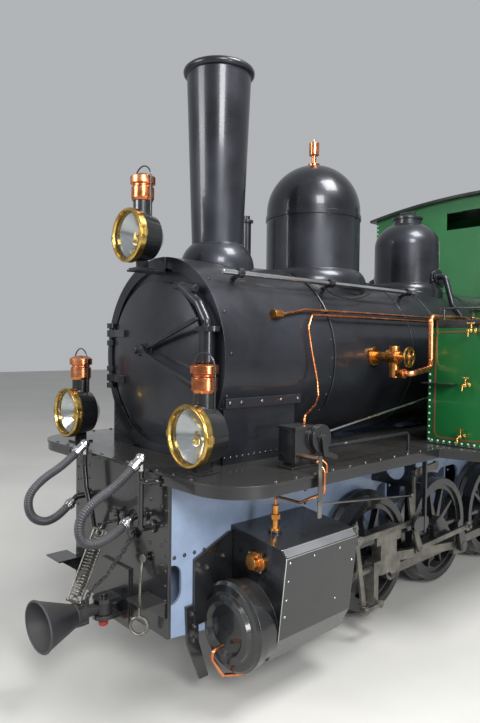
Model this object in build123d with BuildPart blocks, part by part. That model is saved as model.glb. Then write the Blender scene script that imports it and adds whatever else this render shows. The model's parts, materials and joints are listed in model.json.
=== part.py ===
from build123d import *
import math
import os

# Narrow gauge steam tank locomotive, six coupled, in millimetres.
# +X is forward, +Y the engine's left and +Z up; the floor is the foot of the wheel flanges.
os.makedirs("parts", exist_ok=True)

# Track and wheels
gauge = 750
flange_depth = 28
tread_radius = 375
tyre_width = 110
tyre_thickness = 50
flange_width = 30
back_to_back = 690
axle_radius = 65
hub_radius = 88
spoke_count = 10
axle_spacing = 830
driver_x = -85
crank_radius = 190
crank_angle = {"left": 222, "right": 132}
crank_boss_radius = 62
return_radius = 85
return_angle = -77
axle_z = flange_depth + tread_radius
tyre_inner_y = back_to_back / 2
tyre_outer_y = tyre_inner_y + tyre_width
hub_face_y = tyre_outer_y + 8
axles = {"front": driver_x + axle_spacing, "driver": driver_x, "rear": driver_x - axle_spacing}

# Layers of the motion, from the wheel outwards
running_gap = 6
coupling_rod_thickness = 32
coupling_y = hub_face_y + running_gap
connecting_rod_thickness = 36
connecting_y = coupling_y + coupling_rod_thickness + 8
crosshead_y = connecting_y + connecting_rod_thickness + 8
pin_radius = 34
pin_clearance = 0.6
connecting_rod_length = 1000
eye_radius = 62

# Frames
frame_front_x = 2375
frame_rear_x = -2265
frame_y = 290
plate = 20
frame_foot_z = 300
horn_width = 200
axlebox_height = 206.6
stretcher_xs = (1300, 330, -500, -2000)
stretcher_top_z = 1110
keep_height = 36
outer_frame_y = 446
outer_frame_rear_x = 1400
front_plate_foot_z = 374
end_plate_thickness = 18
frame_nose_x = frame_front_x - end_plate_thickness - 0.3

# Footplate
footplate_z = 1164
footplate_thickness = 12
footplate_half = 930
footplate_front_x = 2415
footplate_rear_x = -2600
footplate_corner = 250
# The footplate widens under the tanks, along a slanted edge
wide_half = 1150
widen_start_x = 789
widen_end_x = 731
valance_depth = 46
footplate_under_z = footplate_z - footplate_thickness
deck_opening_half = 280
deck_opening_front_x = 2125

# Boiler, smokebox and their fittings
chimney_x = 1715
boiler_z = 1678
boiler_radius = 535
smokebox_radius = 541
smokebox_front_x = 2100
smokebox_rear_x = 1290
smokebox_wall = 14
bead_inner_radius = 479
door_opening_radius = 380
door_seat = 36
door_radius = 411
door_bulge = 44
door_gap = 2
door_hinge_x = 2150
door_hinge_y = -447
spindle_z = boiler_z + 42
handle_turns = ((34, 19), (62, -20))
handle_length = 520
backhead_x = -1800
band_xs = (1238, 400, 30, -700)
firebox_half = 255
firebox_foot_z = 560
firebox_length = 1000
saddle_front_x = 2118
saddle_rear_x = 1585
saddle_half = 505
saddle_top_z = 1490
chimney_lip_z = 3336
chimney_top_radius = 186
chimney_foot_radius = 149
chimney_wall = 14
chimney_skirt_radius = 215
steam_dome_x = 865
steam_dome_radius = 314
steam_dome_seam_z = 2598
steam_dome_top_z = 2957
sand_dome_x = -300
sand_dome_radius = 254
sand_dome_top_z = 2777
sand_lid_radius = 120
sand_valve_z = 2296

# Tanks and cab
tank_front_x = 640
tank_top_z = 1915
tank_inner_y = 757
tank_outer_y = wide_half
sheet = 12
filler_radius = 130
coal_length = 900
cab_front_x = -1540
cab_rear_x = -2400
cab_half = wide_half
cab_eave_z = 3082
cab_crown_z = 3190
wall = 16
roof_thickness = 24
window_y = 773
window_z = 2664
window_width = 330
window_height = 440
vent_half = 338
vent_foot_z = 2891
vent_top_z = 3060
roof_overhang = 60
roof_eave = 50
door_front_x = -1700
door_rear_x = -2140
half_door_top_z = 1900
doorway_top_z = 2800
door_thickness = 14
door_play = 7
hinge_y = cab_half - wall - 10
knuckle_radius = 9
knuckle_zs = (1320, half_door_top_z - 160)

# Cylinders
cylinder_y = 588
cylinder_z = axle_z
cylinder_flange_radius = 214
cylinder_front_x = 2060
cylinder_rear_x = 1440
cladding_front_x = 1985
cladding_top_z = 800
cladding_y = 832
piston_rod_radius = 23
guide_bar_z = 585
guide_bar_height = 44
motion_plate_x = 548
motion_foot_z = 830
crosshead_width = 70
bar_inset = 9
piston_reach = 160
piston_stroke = 2 * crank_radius
valve_y = 640
valve_z = 705
oil_valve_x = 1864
oil_pad_z = 834
gear_y = crosshead_y + crosshead_width + 8
gear_thickness = 16
gear_outer_y = gear_y + 2 * gear_thickness + 10
lever_top_x = 1204
drop_arm_x = 190
union_link_length = 146
union_z = 205
link_x = 610
link_z = 625
reverse_z = 950

# Couplers
coupler_z = 408
funnel_depth = 190
funnel_throat = 52
funnel_wall = 8
neck_radius = 30
coupler_pin_radius = 22
coupler_pivot_x = frame_front_x + 80
coupler_mouth_x = 2800
coupler_mouth_width = 290
coupler_mouth_height = 240


# Lamps: (ring face x, y, centre height, ring radius, +1 where it faces forwards)
lamp_set = 104
lamp_foot = 32.7
lamp_neck = 50
bail_half = 76
lamps = (
    (2382, 578, 1342, 145, 1),
    (2382, -578, 1342, 145, 1),
    (2337, 0, 2312, 140, 1),
    (-2620, 578, 1342, 145, -1),
    (-2620, -578, 1342, 145, -1),
)

lamp_shelf_z = lamps[2][2] - lamps[2][3] - lamp_foot - 0.3

# Handrails
handrail_y = 400
handrail_z = 2123
handrail_radius = 14
rail_front_x = 2020
rail_rear_x = 250
post_xs = (1900, 1160, 320)
post_foot_y = 330

# Lubricator on the left footplate, driven by a thin rod from the expansion link
lubricator_x = 1827
lubricator_length = 145
lubricator_inner_y = 690
lubricator_outer_y = 800
lubricator_foot_z = 1195
lubricator_top_z = 1352
drive_foot = (665, 674, 818)
drive_top = (1890, 944, 1031)
drive_strip_top_z = 1250
drive_strip_foot_z = 967

# Feed valves on both sides of the boiler, and their pipes over the tanks
feed_x = 914
feed_z = 1690
feed_pipe_y = 784
feed_pipe_z = tank_top_z + 19.5

# Brake hoses at the front: control points, from the pipe's union to the coupling on the plate
hose_radius = 23
elbow_foot_z = 1158
hose_routes = {
    "left": ((2492, 318, 1172), (2566, 314, 1104), (2680, 306, 1050), (2758, 298, 972),
             (2730, 286, 855), (2605, 271, 838), (2502, 260, 890)),
    "right": ((2492, -226, 1168), (2562, -232, 1108), (2672, -245, 1050), (2748, -258, 965),
              (2716, -275, 842), (2592, -288, 800), (2504, -298, 868)),
}

sides = {"left": 1, "right": -1}
ends = {"front": 1, "rear": -1}
end_face_x = {"front": frame_front_x, "rear": frame_rear_x - end_plate_thickness}


def upright(x, y=0):
    """Sketch plane through a vertical axis: local x is forward and local y is up."""
    return Plane((x, y, 0), x_dir=(1, 0, 0), z_dir=(0, -1, 0))


def layer(y):
    """Side view at a distance y: points are (x, z), and a negative amount extrudes towards +Y."""
    return Plane((0, y, 0), x_dir=(1, 0, 0), z_dir=(0, -1, 0))


def section(x):
    """Cross-section at x: points are (y, z), and a positive amount extrudes forwards."""
    return Plane((x, 0, 0), x_dir=(0, 1, 0), z_dir=(1, 0, 0))


def level(z):
    """Plan view at a height z: points are (x, y), and a positive amount extrudes upwards."""
    return Plane((0, 0, z), x_dir=(1, 0, 0), z_dir=(0, 0, 1))


def across(x, z):
    """Sketch plane through an axis that runs across: local x is to the left."""
    return Plane((x, 0, z), x_dir=(0, 1, 0), z_dir=(1, 0, 0))


def crank_pin(name):
    """Crank pin's offset (x, z) from its axle: the right side is a quarter turn from the left."""
    angle = math.radians(crank_angle[name])
    return crank_radius * math.cos(angle), crank_radius * math.sin(angle)


def return_pin(name):
    """Return crank pin's offset (x, z) from the driving axle."""
    angle = math.radians(crank_angle[name] + return_angle)
    return return_radius * math.cos(angle), return_radius * math.sin(angle)


def beyond(name, end, distance):
    """Point on a hose's axis beyond its end: end 0 is the upper one and end -1 the lower."""
    route = hose_routes[name]
    inner = route[1] if end == 0 else route[-2]
    outward = (Vector(*route[end]) - Vector(*inner)).normalized()
    return Vector(*route[end]) + outward * distance


# Where each crosshead's pin stands at rest
crosshead_pin_x = {}
for name in sides:
    pin_x, pin_z = crank_pin(name)
    crosshead_pin_x[name] = driver_x + pin_x + math.sqrt(connecting_rod_length ** 2 - pin_z ** 2)


# Wheelsets: axle, two spoked centres and their crank pins turn as one body
rim_radius = tread_radius - tyre_thickness
for place, axle_x in axles.items():
    pin_length = coupling_rod_thickness + 12
    if place == "driver":
        pin_length = connecting_y + connecting_rod_thickness + 12 - coupling_y
    with BuildPart() as wheelset:
        with BuildSketch(across(axle_x, axle_z)):
            with BuildLine():
                Polyline((-hub_face_y, 0), (-hub_face_y, hub_radius), (-tyre_inner_y, hub_radius),
                         (-tyre_inner_y, axle_radius), (tyre_inner_y, axle_radius), (tyre_inner_y, hub_radius),
                         (hub_face_y, hub_radius), (hub_face_y, 0), close=True)
            make_face()
        revolve(axis=Axis((axle_x, 0, axle_z), (0, 1, 0)))
        for name, side in sides.items():
            with BuildSketch(layer(side * (tyre_inner_y + 18))):
                with Locations((axle_x, axle_z)):
                    Circle(rim_radius)
                    Circle(rim_radius - 34, mode=Mode.SUBTRACT)
            extrude(amount=-side * (tyre_width - 36))
            with BuildSketch(layer(side * (tyre_inner_y + 38))):
                with Locations((axle_x, axle_z)):
                    with PolarLocations(0, spoke_count):
                        with Locations(((hub_radius + rim_radius - 30) / 2, 0)):
                            Trapezoid(46, rim_radius - hub_radius, 86, rotation=-90)
            extrude(amount=-side * 44)
            pin_x, pin_z = crank_pin(name)
            with BuildSketch(layer(side * (tyre_inner_y + 38))):
                with Locations((axle_x, axle_z)):
                    Circle(hub_radius)
                with Locations((axle_x + pin_x, axle_z + pin_z)):
                    Circle(crank_boss_radius)
                make_hull()
            extrude(amount=-side * (hub_face_y - tyre_inner_y - 38))
            with BuildSketch(layer(side * (hub_face_y - 20))):
                with Locations((axle_x + pin_x, axle_z + pin_z)):
                    Circle(pin_radius)
            extrude(amount=-side * (20 + coupling_y - hub_face_y + pin_length))
            if place == "driver":
                # Return crank, clamped on the end of the driving pin
                back_x, back_z = return_pin(name)
                with BuildSketch(layer(side * (crosshead_y + 4))):
                    with Locations((axle_x + pin_x, axle_z + pin_z)):
                        Circle(46)
                    with Locations((axle_x + back_x, axle_z + back_z)):
                        Circle(32)
                    make_hull()
                extrude(amount=-side * 26)
                with BuildSketch(layer(side * (connecting_y + connecting_rod_thickness))):
                    with Locations((axle_x + pin_x, axle_z + pin_z)):
                        Circle(pin_radius)
                extrude(amount=-side * (crosshead_y + 34 - connecting_y - connecting_rod_thickness))
            else:
                with BuildSketch(layer(side * (coupling_y + coupling_rod_thickness + 3))):
                    with Locations((axle_x + pin_x, axle_z + pin_z)):
                        RegularPolygon(pin_radius + 8, 6)
                extrude(amount=-side * 16)
    wheelset.part.label = f"wheelset_{place}"
    export_step(wheelset.part, f"parts/wheelset_{place}.step")

    with BuildPart() as tyres:
        for side in sides.values():
            with BuildSketch(across(axle_x, axle_z)):
                with BuildLine():
                    Polyline((side * tyre_inner_y, rim_radius), (side * tyre_inner_y, tread_radius + flange_depth - 10),
                             (side * (tyre_inner_y + 8), tread_radius + flange_depth),
                             (side * (tyre_inner_y + 18), tread_radius + flange_depth),
                             (side * (tyre_inner_y + flange_width + 6), tread_radius + 2),
                             (side * tyre_outer_y, tread_radius - 4), (side * tyre_outer_y, rim_radius), close=True)
                make_face()
            revolve(axis=Axis((axle_x, 0, axle_z), (0, 1, 0)))
    tyres.part.label = f"tyres_{place}"
    export_step(tyres.part, f"parts/tyres_{place}.step")

# Coupling and connecting rods
for name, side in sides.items():
    pin_x, pin_z = crank_pin(name)
    with BuildPart() as coupling_rod:
        with BuildSketch(layer(side * coupling_y)):
            with Locations((driver_x + pin_x, axle_z + pin_z)):
                Rectangle(2 * axle_spacing, 62)
            with Locations([(x + pin_x, axle_z + pin_z) for x in axles.values()]):
                Circle(eye_radius)
            with Locations([(x + pin_x, axle_z + pin_z) for x in axles.values()]):
                Circle(pin_radius + pin_clearance, mode=Mode.SUBTRACT)
        extrude(amount=-side * coupling_rod_thickness)
    coupling_rod.part.label = f"coupling_rod_{name}"
    export_step(coupling_rod.part, f"parts/coupling_rod_{name}.step")

    big = (driver_x + pin_x, axle_z + pin_z)
    slope = math.degrees(math.asin(-pin_z / connecting_rod_length))
    with BuildPart() as connecting_rod:
        with BuildSketch(layer(side * connecting_y)):
            with Locations(Location((*big, 0), (0, 0, slope))):
                with Locations((connecting_rod_length / 2, 0)):
                    Trapezoid(64, connecting_rod_length, 90.28, rotation=-90)
                Rectangle(160, 132)
                with Locations((connecting_rod_length, 0)):
                    Circle(eye_radius - 8)
                Circle(pin_radius + pin_clearance, mode=Mode.SUBTRACT)
                with Locations((connecting_rod_length, 0)):
                    Circle(pin_radius - 8, mode=Mode.SUBTRACT)
        extrude(amount=-side * connecting_rod_thickness)
    connecting_rod.part.label = f"connecting_rod_{name}"
    export_step(connecting_rod.part, f"parts/connecting_rod_{name}.step")

# Main frame plates, inside the wheels, with slots for the axleboxes
with BuildPart() as main_frames:
    for side in sides.values():
        with BuildSketch(layer(side * frame_y)):
            with BuildLine():
                Polyline((frame_rear_x, frame_foot_z + 60), (frame_rear_x + 500, frame_foot_z),
                         (frame_front_x - 500, frame_foot_z), (frame_nose_x, frame_foot_z + 120),
                         (frame_nose_x, footplate_under_z), (frame_rear_x, footplate_under_z), close=True)
            make_face()
            for axle_x in axles.values():
                with Locations((axle_x, axle_z + axlebox_height / 2 + 0.3 - 160)):
                    Rectangle(horn_width, 320, mode=Mode.SUBTRACT)
            for hole_x in (driver_x + axle_spacing / 2, driver_x - axle_spacing / 2):
                with Locations((hole_x, axle_z + 300)):
                    SlotOverall(340, 180, mode=Mode.SUBTRACT)
        extrude(amount=side * plate)
main_frames.part.label = "main_frames"
export_step(main_frames.part, "parts/main_frames.step")

# Stretchers across between the two plates, each with a hole through it
with BuildPart() as frame_stretchers:
    for stay_x in stretcher_xs:
        with BuildSketch(section(stay_x)):
            with Locations((0, (frame_foot_z + 140 + stretcher_top_z) / 2)):
                Rectangle(2 * (frame_y - plate), stretcher_top_z - frame_foot_z - 140)
                Rectangle(260, 320, mode=Mode.SUBTRACT)
        extrude(amount=plate)
frame_stretchers.part.label = "frame_stretchers"
export_step(frame_stretchers.part, "parts/frame_stretchers.step")

with BuildPart() as axleboxes:
    for axle_x in axles.values():
        for side in sides.values():
            with BuildSketch(layer(side * (frame_y + 12))):
                with Locations((axle_x, axle_z)):
                    Rectangle(horn_width - 0.6, axlebox_height)
                    Circle(axle_radius + 0.6, mode=Mode.SUBTRACT)
            extrude(amount=side * 120)
            with BuildSketch(layer(side * (frame_y + 12))):
                with Locations((axle_x, axle_z - axlebox_height / 2 - keep_height / 2)):
                    Rectangle(horn_width + 90, keep_height)
            extrude(amount=side * 44)
axleboxes.part.label = "axleboxes"
export_step(axleboxes.part, "parts/axleboxes.step")

# Outer frame box that carries the cylinders, with its tall front plate
with BuildPart() as outer_frames:
    for side in sides.values():
        with BuildSketch(layer(side * outer_frame_y)):
            with BuildLine():
                Polyline((outer_frame_rear_x, 620), (outer_frame_rear_x + 120, 330), (frame_front_x - 420, 330),
                         (frame_nose_x, front_plate_foot_z), (frame_nose_x, footplate_under_z),
                         (outer_frame_rear_x, footplate_under_z), close=True)
            make_face()
            with Locations((frame_front_x - 23, 624)):
                SlotOverall(186, 110, rotation=90, mode=Mode.SUBTRACT)
        extrude(amount=side * 16)
    with BuildSketch(section(outer_frame_rear_x)):
        for side in sides.values():
            with Locations((side * (frame_y + outer_frame_y - 16) / 2, (760 + footplate_under_z) / 2)):
                Rectangle(outer_frame_y - 16 - frame_y, footplate_under_z - 760)
    extrude(amount=16)
outer_frames.part.label = "outer_frames"
export_step(outer_frames.part, "parts/outer_frames.step")

# Tall front and rear plates of the frame, with two jaws and a pin on each for its coupler
with BuildPart() as end_plates:
    for plate_x in (frame_front_x - end_plate_thickness, frame_rear_x - end_plate_thickness):
        with BuildSketch(section(plate_x)):
            with Locations((0, (front_plate_foot_z + footplate_under_z) / 2)):
                Rectangle(2 * outer_frame_y, footplate_under_z - front_plate_foot_z)
        extrude(amount=end_plate_thickness)
    for name, facing in ends.items():
        pivot_x = facing * coupler_pivot_x
        plate_x = end_face_x[name]
        for jaw_z in (coupler_z - 30.6 - 22, coupler_z + 30.6):
            with BuildSketch(level(jaw_z)):
                with Locations((pivot_x, 0)):
                    Circle(56)
                with Locations(((pivot_x + plate_x) / 2, 0)):
                    Rectangle(abs(pivot_x - plate_x), 112)
            extrude(amount=22)
        with BuildSketch(level(coupler_z - 70)):
            with Locations((pivot_x, 0)):
                Circle(coupler_pin_radius)
        extrude(amount=140)
        with BuildSketch(section(plate_x)):
            with Locations((0, coupler_z + 60)):
                Rectangle(260, 300)
        extrude(amount=facing * 14)
end_plates.part.label = "end_plates"
export_step(end_plates.part, "parts/end_plates.step")

# Footplate with its edge angle, open under the boiler
with BuildPart() as footplate:
    with BuildSketch(level(footplate_under_z)) as deck:
        with BuildLine():
            Polyline((footplate_rear_x, -wide_half), (widen_end_x, -wide_half), (widen_start_x, -footplate_half),
                     (footplate_front_x - footplate_corner, -footplate_half))
            RadiusArc((footplate_front_x - footplate_corner, -footplate_half),
                      (footplate_front_x, -footplate_half + footplate_corner), -footplate_corner)
            Line((footplate_front_x, -footplate_half + footplate_corner),
                 (footplate_front_x, footplate_half - footplate_corner))
            RadiusArc((footplate_front_x, footplate_half - footplate_corner),
                      (footplate_front_x - footplate_corner, footplate_half), -footplate_corner)
            Polyline((footplate_front_x - footplate_corner, footplate_half), (widen_start_x, footplate_half),
                     (widen_end_x, wide_half), (footplate_rear_x, wide_half), (footplate_rear_x, -wide_half))
        make_face()
    extrude(amount=footplate_thickness)
    with BuildSketch(level(footplate_under_z - valance_depth)):
        add(deck.sketch.moved(Location((0, 0, -footplate_under_z))))
        offset(amount=-6, mode=Mode.REPLACE)
        offset(amount=-10, mode=Mode.SUBTRACT)
        with Locations(((footplate_front_x + 100), 0)):
            Rectangle(400, 2 * outer_frame_y + 20, mode=Mode.SUBTRACT)
        with Locations((footplate_rear_x, 0)):
            Rectangle(100, 2 * outer_frame_y + 20, mode=Mode.SUBTRACT)
    extrude(amount=valance_depth)
    with BuildSketch(level(footplate_under_z)):
        with Locations(((deck_opening_front_x + backhead_x - 10) / 2, 0)):
            Rectangle(deck_opening_front_x - backhead_x + 10, 2 * deck_opening_half)
    extrude(amount=footplate_thickness, mode=Mode.SUBTRACT)
footplate.part.label = "footplate"
export_step(footplate.part, "parts/footplate.step")

# Smokebox saddle, hollowed to the smokebox's round
with BuildPart() as saddle:
    with BuildSketch(section(saddle_rear_x)):
        with BuildLine():
            Polyline((-saddle_half, footplate_z), (saddle_half, footplate_z), (saddle_half, saddle_top_z),
                     (-saddle_half, saddle_top_z), close=True)
        make_face()
        with Locations((0, boiler_z)):
            Circle(smokebox_radius, mode=Mode.SUBTRACT)
    extrude(amount=saddle_front_x - 24 - saddle_rear_x)
saddle.part.label = "smokebox_saddle"
export_step(saddle.part, "parts/smokebox_saddle.step")

# Boiler barrel with its cladding bands, and the firebox between the frames
with BuildPart() as boiler:
    with BuildSketch(section(backhead_x)):
        with Locations((0, boiler_z)):
            Circle(boiler_radius)
    extrude(amount=smokebox_rear_x - backhead_x)
    for band_x in band_xs:
        with BuildSketch(section(band_x)):
            with Locations((0, boiler_z)):
                Circle(boiler_radius + 4)
        extrude(amount=50)
    with BuildSketch(section(backhead_x + 10)):
        with BuildLine():
            Polyline((-firebox_half, firebox_foot_z), (firebox_half, firebox_foot_z),
                     (firebox_half, boiler_z), (-firebox_half, boiler_z), close=True)
        make_face()
    extrude(amount=firebox_length)
boiler.part.label = "boiler"
export_step(boiler.part, "parts/boiler.step")

# Smokebox: hollow drum with a bead round its front plate and a round door opening
with BuildPart() as smokebox:
    with BuildSketch(section(smokebox_rear_x)):
        with Locations((0, boiler_z)):
            Circle(smokebox_radius)
    extrude(amount=smokebox_front_x - smokebox_rear_x)
    with BuildSketch(section(smokebox_rear_x + smokebox_wall)):
        with Locations((0, boiler_z)):
            Circle(smokebox_radius - smokebox_wall)
    extrude(amount=smokebox_front_x - smokebox_rear_x - 2 * smokebox_wall, mode=Mode.SUBTRACT)
    with BuildSketch(section(smokebox_front_x)):
        with Locations((0, boiler_z)):
            Circle(smokebox_radius)
            Circle(bead_inner_radius, mode=Mode.SUBTRACT)
    extrude(amount=18)
    with BuildSketch(section(smokebox_front_x)):
        with Locations((0, boiler_z)):
            Circle(door_radius - 6)
    extrude(amount=door_seat)
    with BuildSketch(section(smokebox_front_x - smokebox_wall)):
        with Locations((0, boiler_z)):
            Circle(door_opening_radius)
    extrude(amount=smokebox_wall + door_seat + 2, mode=Mode.SUBTRACT)
    with BuildSketch(level(boiler_z + smokebox_radius - 60)):
        with Locations((chimney_x, 0)):
            Circle(chimney_foot_radius - chimney_wall)
    extrude(amount=100, mode=Mode.SUBTRACT)
    with BuildSketch(level(lamp_shelf_z - 9)):
        with Locations(((smokebox_front_x + lamps[2][0]) / 2 - 20, 0)):
            Rectangle(lamps[2][0] - smokebox_front_x - 40, 100)
    extrude(amount=9)
    with BuildSketch(section(smokebox_front_x + 18)):
        with Locations((0, (lamp_shelf_z + boiler_z + smokebox_radius - 12) / 2)):
            Rectangle(100, boiler_z + smokebox_radius - 12 - lamp_shelf_z + 18)
    extrude(amount=10)
    for lug_z in (boiler_z - 190, boiler_z - 90, boiler_z + 60, boiler_z + 160):
        with BuildSketch(level(lug_z)):
            with Locations((door_hinge_x, door_hinge_y)):
                Circle(26)
            with Locations(((smokebox_front_x + door_hinge_x) / 2, door_hinge_y)):
                Rectangle(door_hinge_x - smokebox_front_x, 52)
            with Locations((door_hinge_x, door_hinge_y)):
                Circle(14.5, mode=Mode.SUBTRACT)
        extrude(amount=30)
smokebox.part.label = "smokebox"
export_step(smokebox.part, "parts/smokebox.step")

# Smokebox door: dished plate with its hinge straps, centre boss and two long handles
door_face_x = smokebox_front_x + door_seat + door_gap
dish_radius = (door_radius ** 2 + door_bulge ** 2) / (2 * door_bulge)
dish_middle = door_bulge - dish_radius + math.sqrt(dish_radius ** 2 - door_radius ** 2 / 4)
with BuildPart() as smokebox_door:
    with BuildSketch(Plane((0, 0, boiler_z), x_dir=(1, 0, 0), z_dir=(0, -1, 0))):
        with BuildLine():
            Polyline((door_face_x, 0), (door_face_x, door_radius), (door_face_x + 14, door_radius))
            ThreePointArc((door_face_x + 14, door_radius), (door_face_x + 14 + dish_middle, door_radius / 2),
                          (door_face_x + 14 + door_bulge, 0))
            Line((door_face_x + 14 + door_bulge, 0), (door_face_x, 0))
        make_face()
    revolve(axis=Axis((0, 0, boiler_z), (1, 0, 0)))
    with BuildSketch(section(door_face_x + door_bulge)):
        with Locations((0, spindle_z)):
            Circle(40)
    extrude(amount=30)
    with BuildSketch(section(door_face_x + 20 + door_bulge)):
        with Locations((0, spindle_z)):
            Circle(20)
    extrude(amount=84)
    for reach, turn in handle_turns:
        with BuildSketch(section(door_face_x + reach + door_bulge)):
            with Locations(Location((0, spindle_z, 0), (0, 0, turn))):
                with Locations((handle_length / 2 - 40, 0)):
                    SlotOverall(handle_length, 20)
                Circle(34)
        extrude(amount=18)
    for strap_z in (boiler_z - 130, boiler_z + 130):
        with BuildSketch(level(strap_z - 20)):
            with BuildLine():
                Polyline((door_face_x + 1, door_hinge_y - 20), (door_face_x + 1, -door_radius + 60),
                         (door_face_x + 14 + 0.5 * door_bulge, -door_radius + 170),
                         (door_face_x + 30 + 0.6 * door_bulge, -door_radius + 170),
                         (door_face_x + 34, -door_radius + 40), (door_hinge_x + 18, door_hinge_y + 16),
                         (door_hinge_x + 18, door_hinge_y - 20), close=True)
            make_face()
        extrude(amount=40)
    with BuildSketch(level(boiler_z - 190)):
        with Locations((door_hinge_x, door_hinge_y)):
            Circle(14)
    extrude(amount=380)
smokebox_door.part.label = "smokebox_door"
export_step(smokebox_door.part, "parts/smokebox_door.step")

# Tall tapered chimney with a rolled lip and a flared foot
boiler_top_z = boiler_z + smokebox_radius
with BuildPart() as chimney:
    with BuildSketch(upright(chimney_x)):
        with BuildLine():
            Polyline((chimney_foot_radius - chimney_wall, boiler_top_z - 34),
                     (chimney_foot_radius - chimney_wall, boiler_top_z + 120),
                     (chimney_top_radius - chimney_wall, chimney_lip_z), (chimney_top_radius + 4, chimney_lip_z))
            RadiusArc((chimney_top_radius + 4, chimney_lip_z), (chimney_top_radius, chimney_lip_z - 44), 22.4)
            Polyline((chimney_top_radius, chimney_lip_z - 44), (chimney_foot_radius, boiler_top_z + 110))
            RadiusArc((chimney_foot_radius, boiler_top_z + 110), (chimney_skirt_radius, boiler_top_z - 18), 170)
            Polyline((chimney_skirt_radius, boiler_top_z - 18), (chimney_skirt_radius, boiler_top_z - 60),
                     (chimney_foot_radius - chimney_wall, boiler_top_z - 60),
                     (chimney_foot_radius - chimney_wall, boiler_top_z - 34))
        make_face()
    revolve(axis=Axis((chimney_x, 0, 0), (0, 0, 1)))
    with BuildSketch(section(chimney_x - 300)):
        with Locations((0, boiler_z)):
            Circle(smokebox_radius + 0.3)
    extrude(amount=600, mode=Mode.SUBTRACT)
chimney.part.label = "chimney"
export_step(chimney.part, "parts/chimney.step")

# Steam dome and sand dome, each seated on the boiler's round
with BuildPart() as steam_dome:
    with BuildSketch(upright(steam_dome_x)):
        with BuildLine():
            Polyline((0, boiler_z + 400), (steam_dome_radius + 46, boiler_z + 400),
                     (steam_dome_radius + 46, boiler_z + boiler_radius - 60))
            RadiusArc((steam_dome_radius + 46, boiler_z + boiler_radius - 60),
                      (steam_dome_radius, boiler_z + boiler_radius + 30), -110)
            Polyline((steam_dome_radius, boiler_z + boiler_radius + 30), (steam_dome_radius, steam_dome_seam_z - 14),
                     (steam_dome_radius + 6, steam_dome_seam_z - 14), (steam_dome_radius + 6, steam_dome_seam_z + 14),
                     (steam_dome_radius, steam_dome_seam_z + 14),
                     (steam_dome_radius, steam_dome_top_z - steam_dome_radius))
            CenterArc((0, steam_dome_top_z - steam_dome_radius), steam_dome_radius, 0, 90)
            Line((0, steam_dome_top_z), (0, boiler_z + 400))
        make_face()
    revolve(axis=Axis((steam_dome_x, 0, 0), (0, 0, 1)))
    with BuildSketch(section(steam_dome_x - 450)):
        with Locations((0, boiler_z)):
            Circle(boiler_radius + 0.3)
    extrude(amount=900, mode=Mode.SUBTRACT)
steam_dome.part.label = "steam_dome"
export_step(steam_dome.part, "parts/steam_dome.step")

with BuildPart() as sand_dome:
    sand_shoulder_z = sand_dome_top_z - 230
    with BuildSketch(upright(sand_dome_x)):
        with BuildLine():
            Polyline((0, boiler_z + 420), (sand_dome_radius + 36, boiler_z + 420),
                     (sand_dome_radius + 36, boiler_z + boiler_radius - 40))
            RadiusArc((sand_dome_radius + 36, boiler_z + boiler_radius - 40),
                      (sand_dome_radius, boiler_z + boiler_radius + 30), -90)
            Line((sand_dome_radius, boiler_z + boiler_radius + 30), (sand_dome_radius, sand_shoulder_z))
            EllipticalCenterArc((0, sand_shoulder_z), sand_dome_radius, sand_dome_top_z - sand_shoulder_z - 30,
                                start_angle=0, arc_size=90)
            Line((0, sand_dome_top_z - 30), (0, boiler_z + 420))
        make_face()
    revolve(axis=Axis((sand_dome_x, 0, 0), (0, 0, 1)))
    with BuildSketch(section(sand_dome_x - 400)):
        with Locations((0, boiler_z)):
            Circle(boiler_radius + 0.3)
    extrude(amount=800, mode=Mode.SUBTRACT)
    with BuildSketch(level(sand_dome_top_z - 60)):
        with Locations((sand_dome_x, 0)):
            Circle(sand_lid_radius - 12)
    extrude(amount=48)
sand_dome.part.label = "sand_dome"
export_step(sand_dome.part, "parts/sand_dome.step")

with BuildPart() as sand_lid:
    with BuildSketch(upright(sand_dome_x)):
        with BuildLine():
            Polyline((0, sand_dome_top_z - 11.5), (sand_lid_radius, sand_dome_top_z - 11.5),
                     (sand_lid_radius, sand_dome_top_z + 4))
            ThreePointArc((sand_lid_radius, sand_dome_top_z + 4), (sand_lid_radius / 2, sand_dome_top_z + 16),
                          (0, sand_dome_top_z + 20))
            Line((0, sand_dome_top_z + 20), (0, sand_dome_top_z - 11.5))
        make_face()
    revolve(axis=Axis((sand_dome_x, 0, 0), (0, 0, 1)))
    with BuildSketch(level(sand_dome_top_z + 10)):
        with Locations((sand_dome_x, 0)):
            Rectangle(24, 130)
            Rectangle(30, 90, mode=Mode.SUBTRACT)
    extrude(amount=40)
    with BuildSketch(level(sand_dome_top_z + 42)):
        with Locations((sand_dome_x, 0)):
            Rectangle(24, 130)
    extrude(amount=14)
sand_lid.part.label = "sand_lid"
export_step(sand_lid.part, "parts/sand_lid.step")

# Whistle on the steam dome
with BuildPart() as whistle:
    with BuildSketch(upright(steam_dome_x)):
        with BuildLine():
            Polyline((0, steam_dome_top_z + 0.3), (40, steam_dome_top_z + 0.3), (40, steam_dome_top_z + 16),
                     (16, steam_dome_top_z + 22), (16, steam_dome_top_z + 72), (34, steam_dome_top_z + 76),
                     (34, steam_dome_top_z + 156), (8, steam_dome_top_z + 166), (8, steam_dome_top_z + 182),
                     (0, steam_dome_top_z + 182), close=True)
        make_face()
    revolve(axis=Axis((steam_dome_x, 0, 0), (0, 0, 1)))
whistle.part.label = "whistle"
export_step(whistle.part, "parts/whistle.step")

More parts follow.
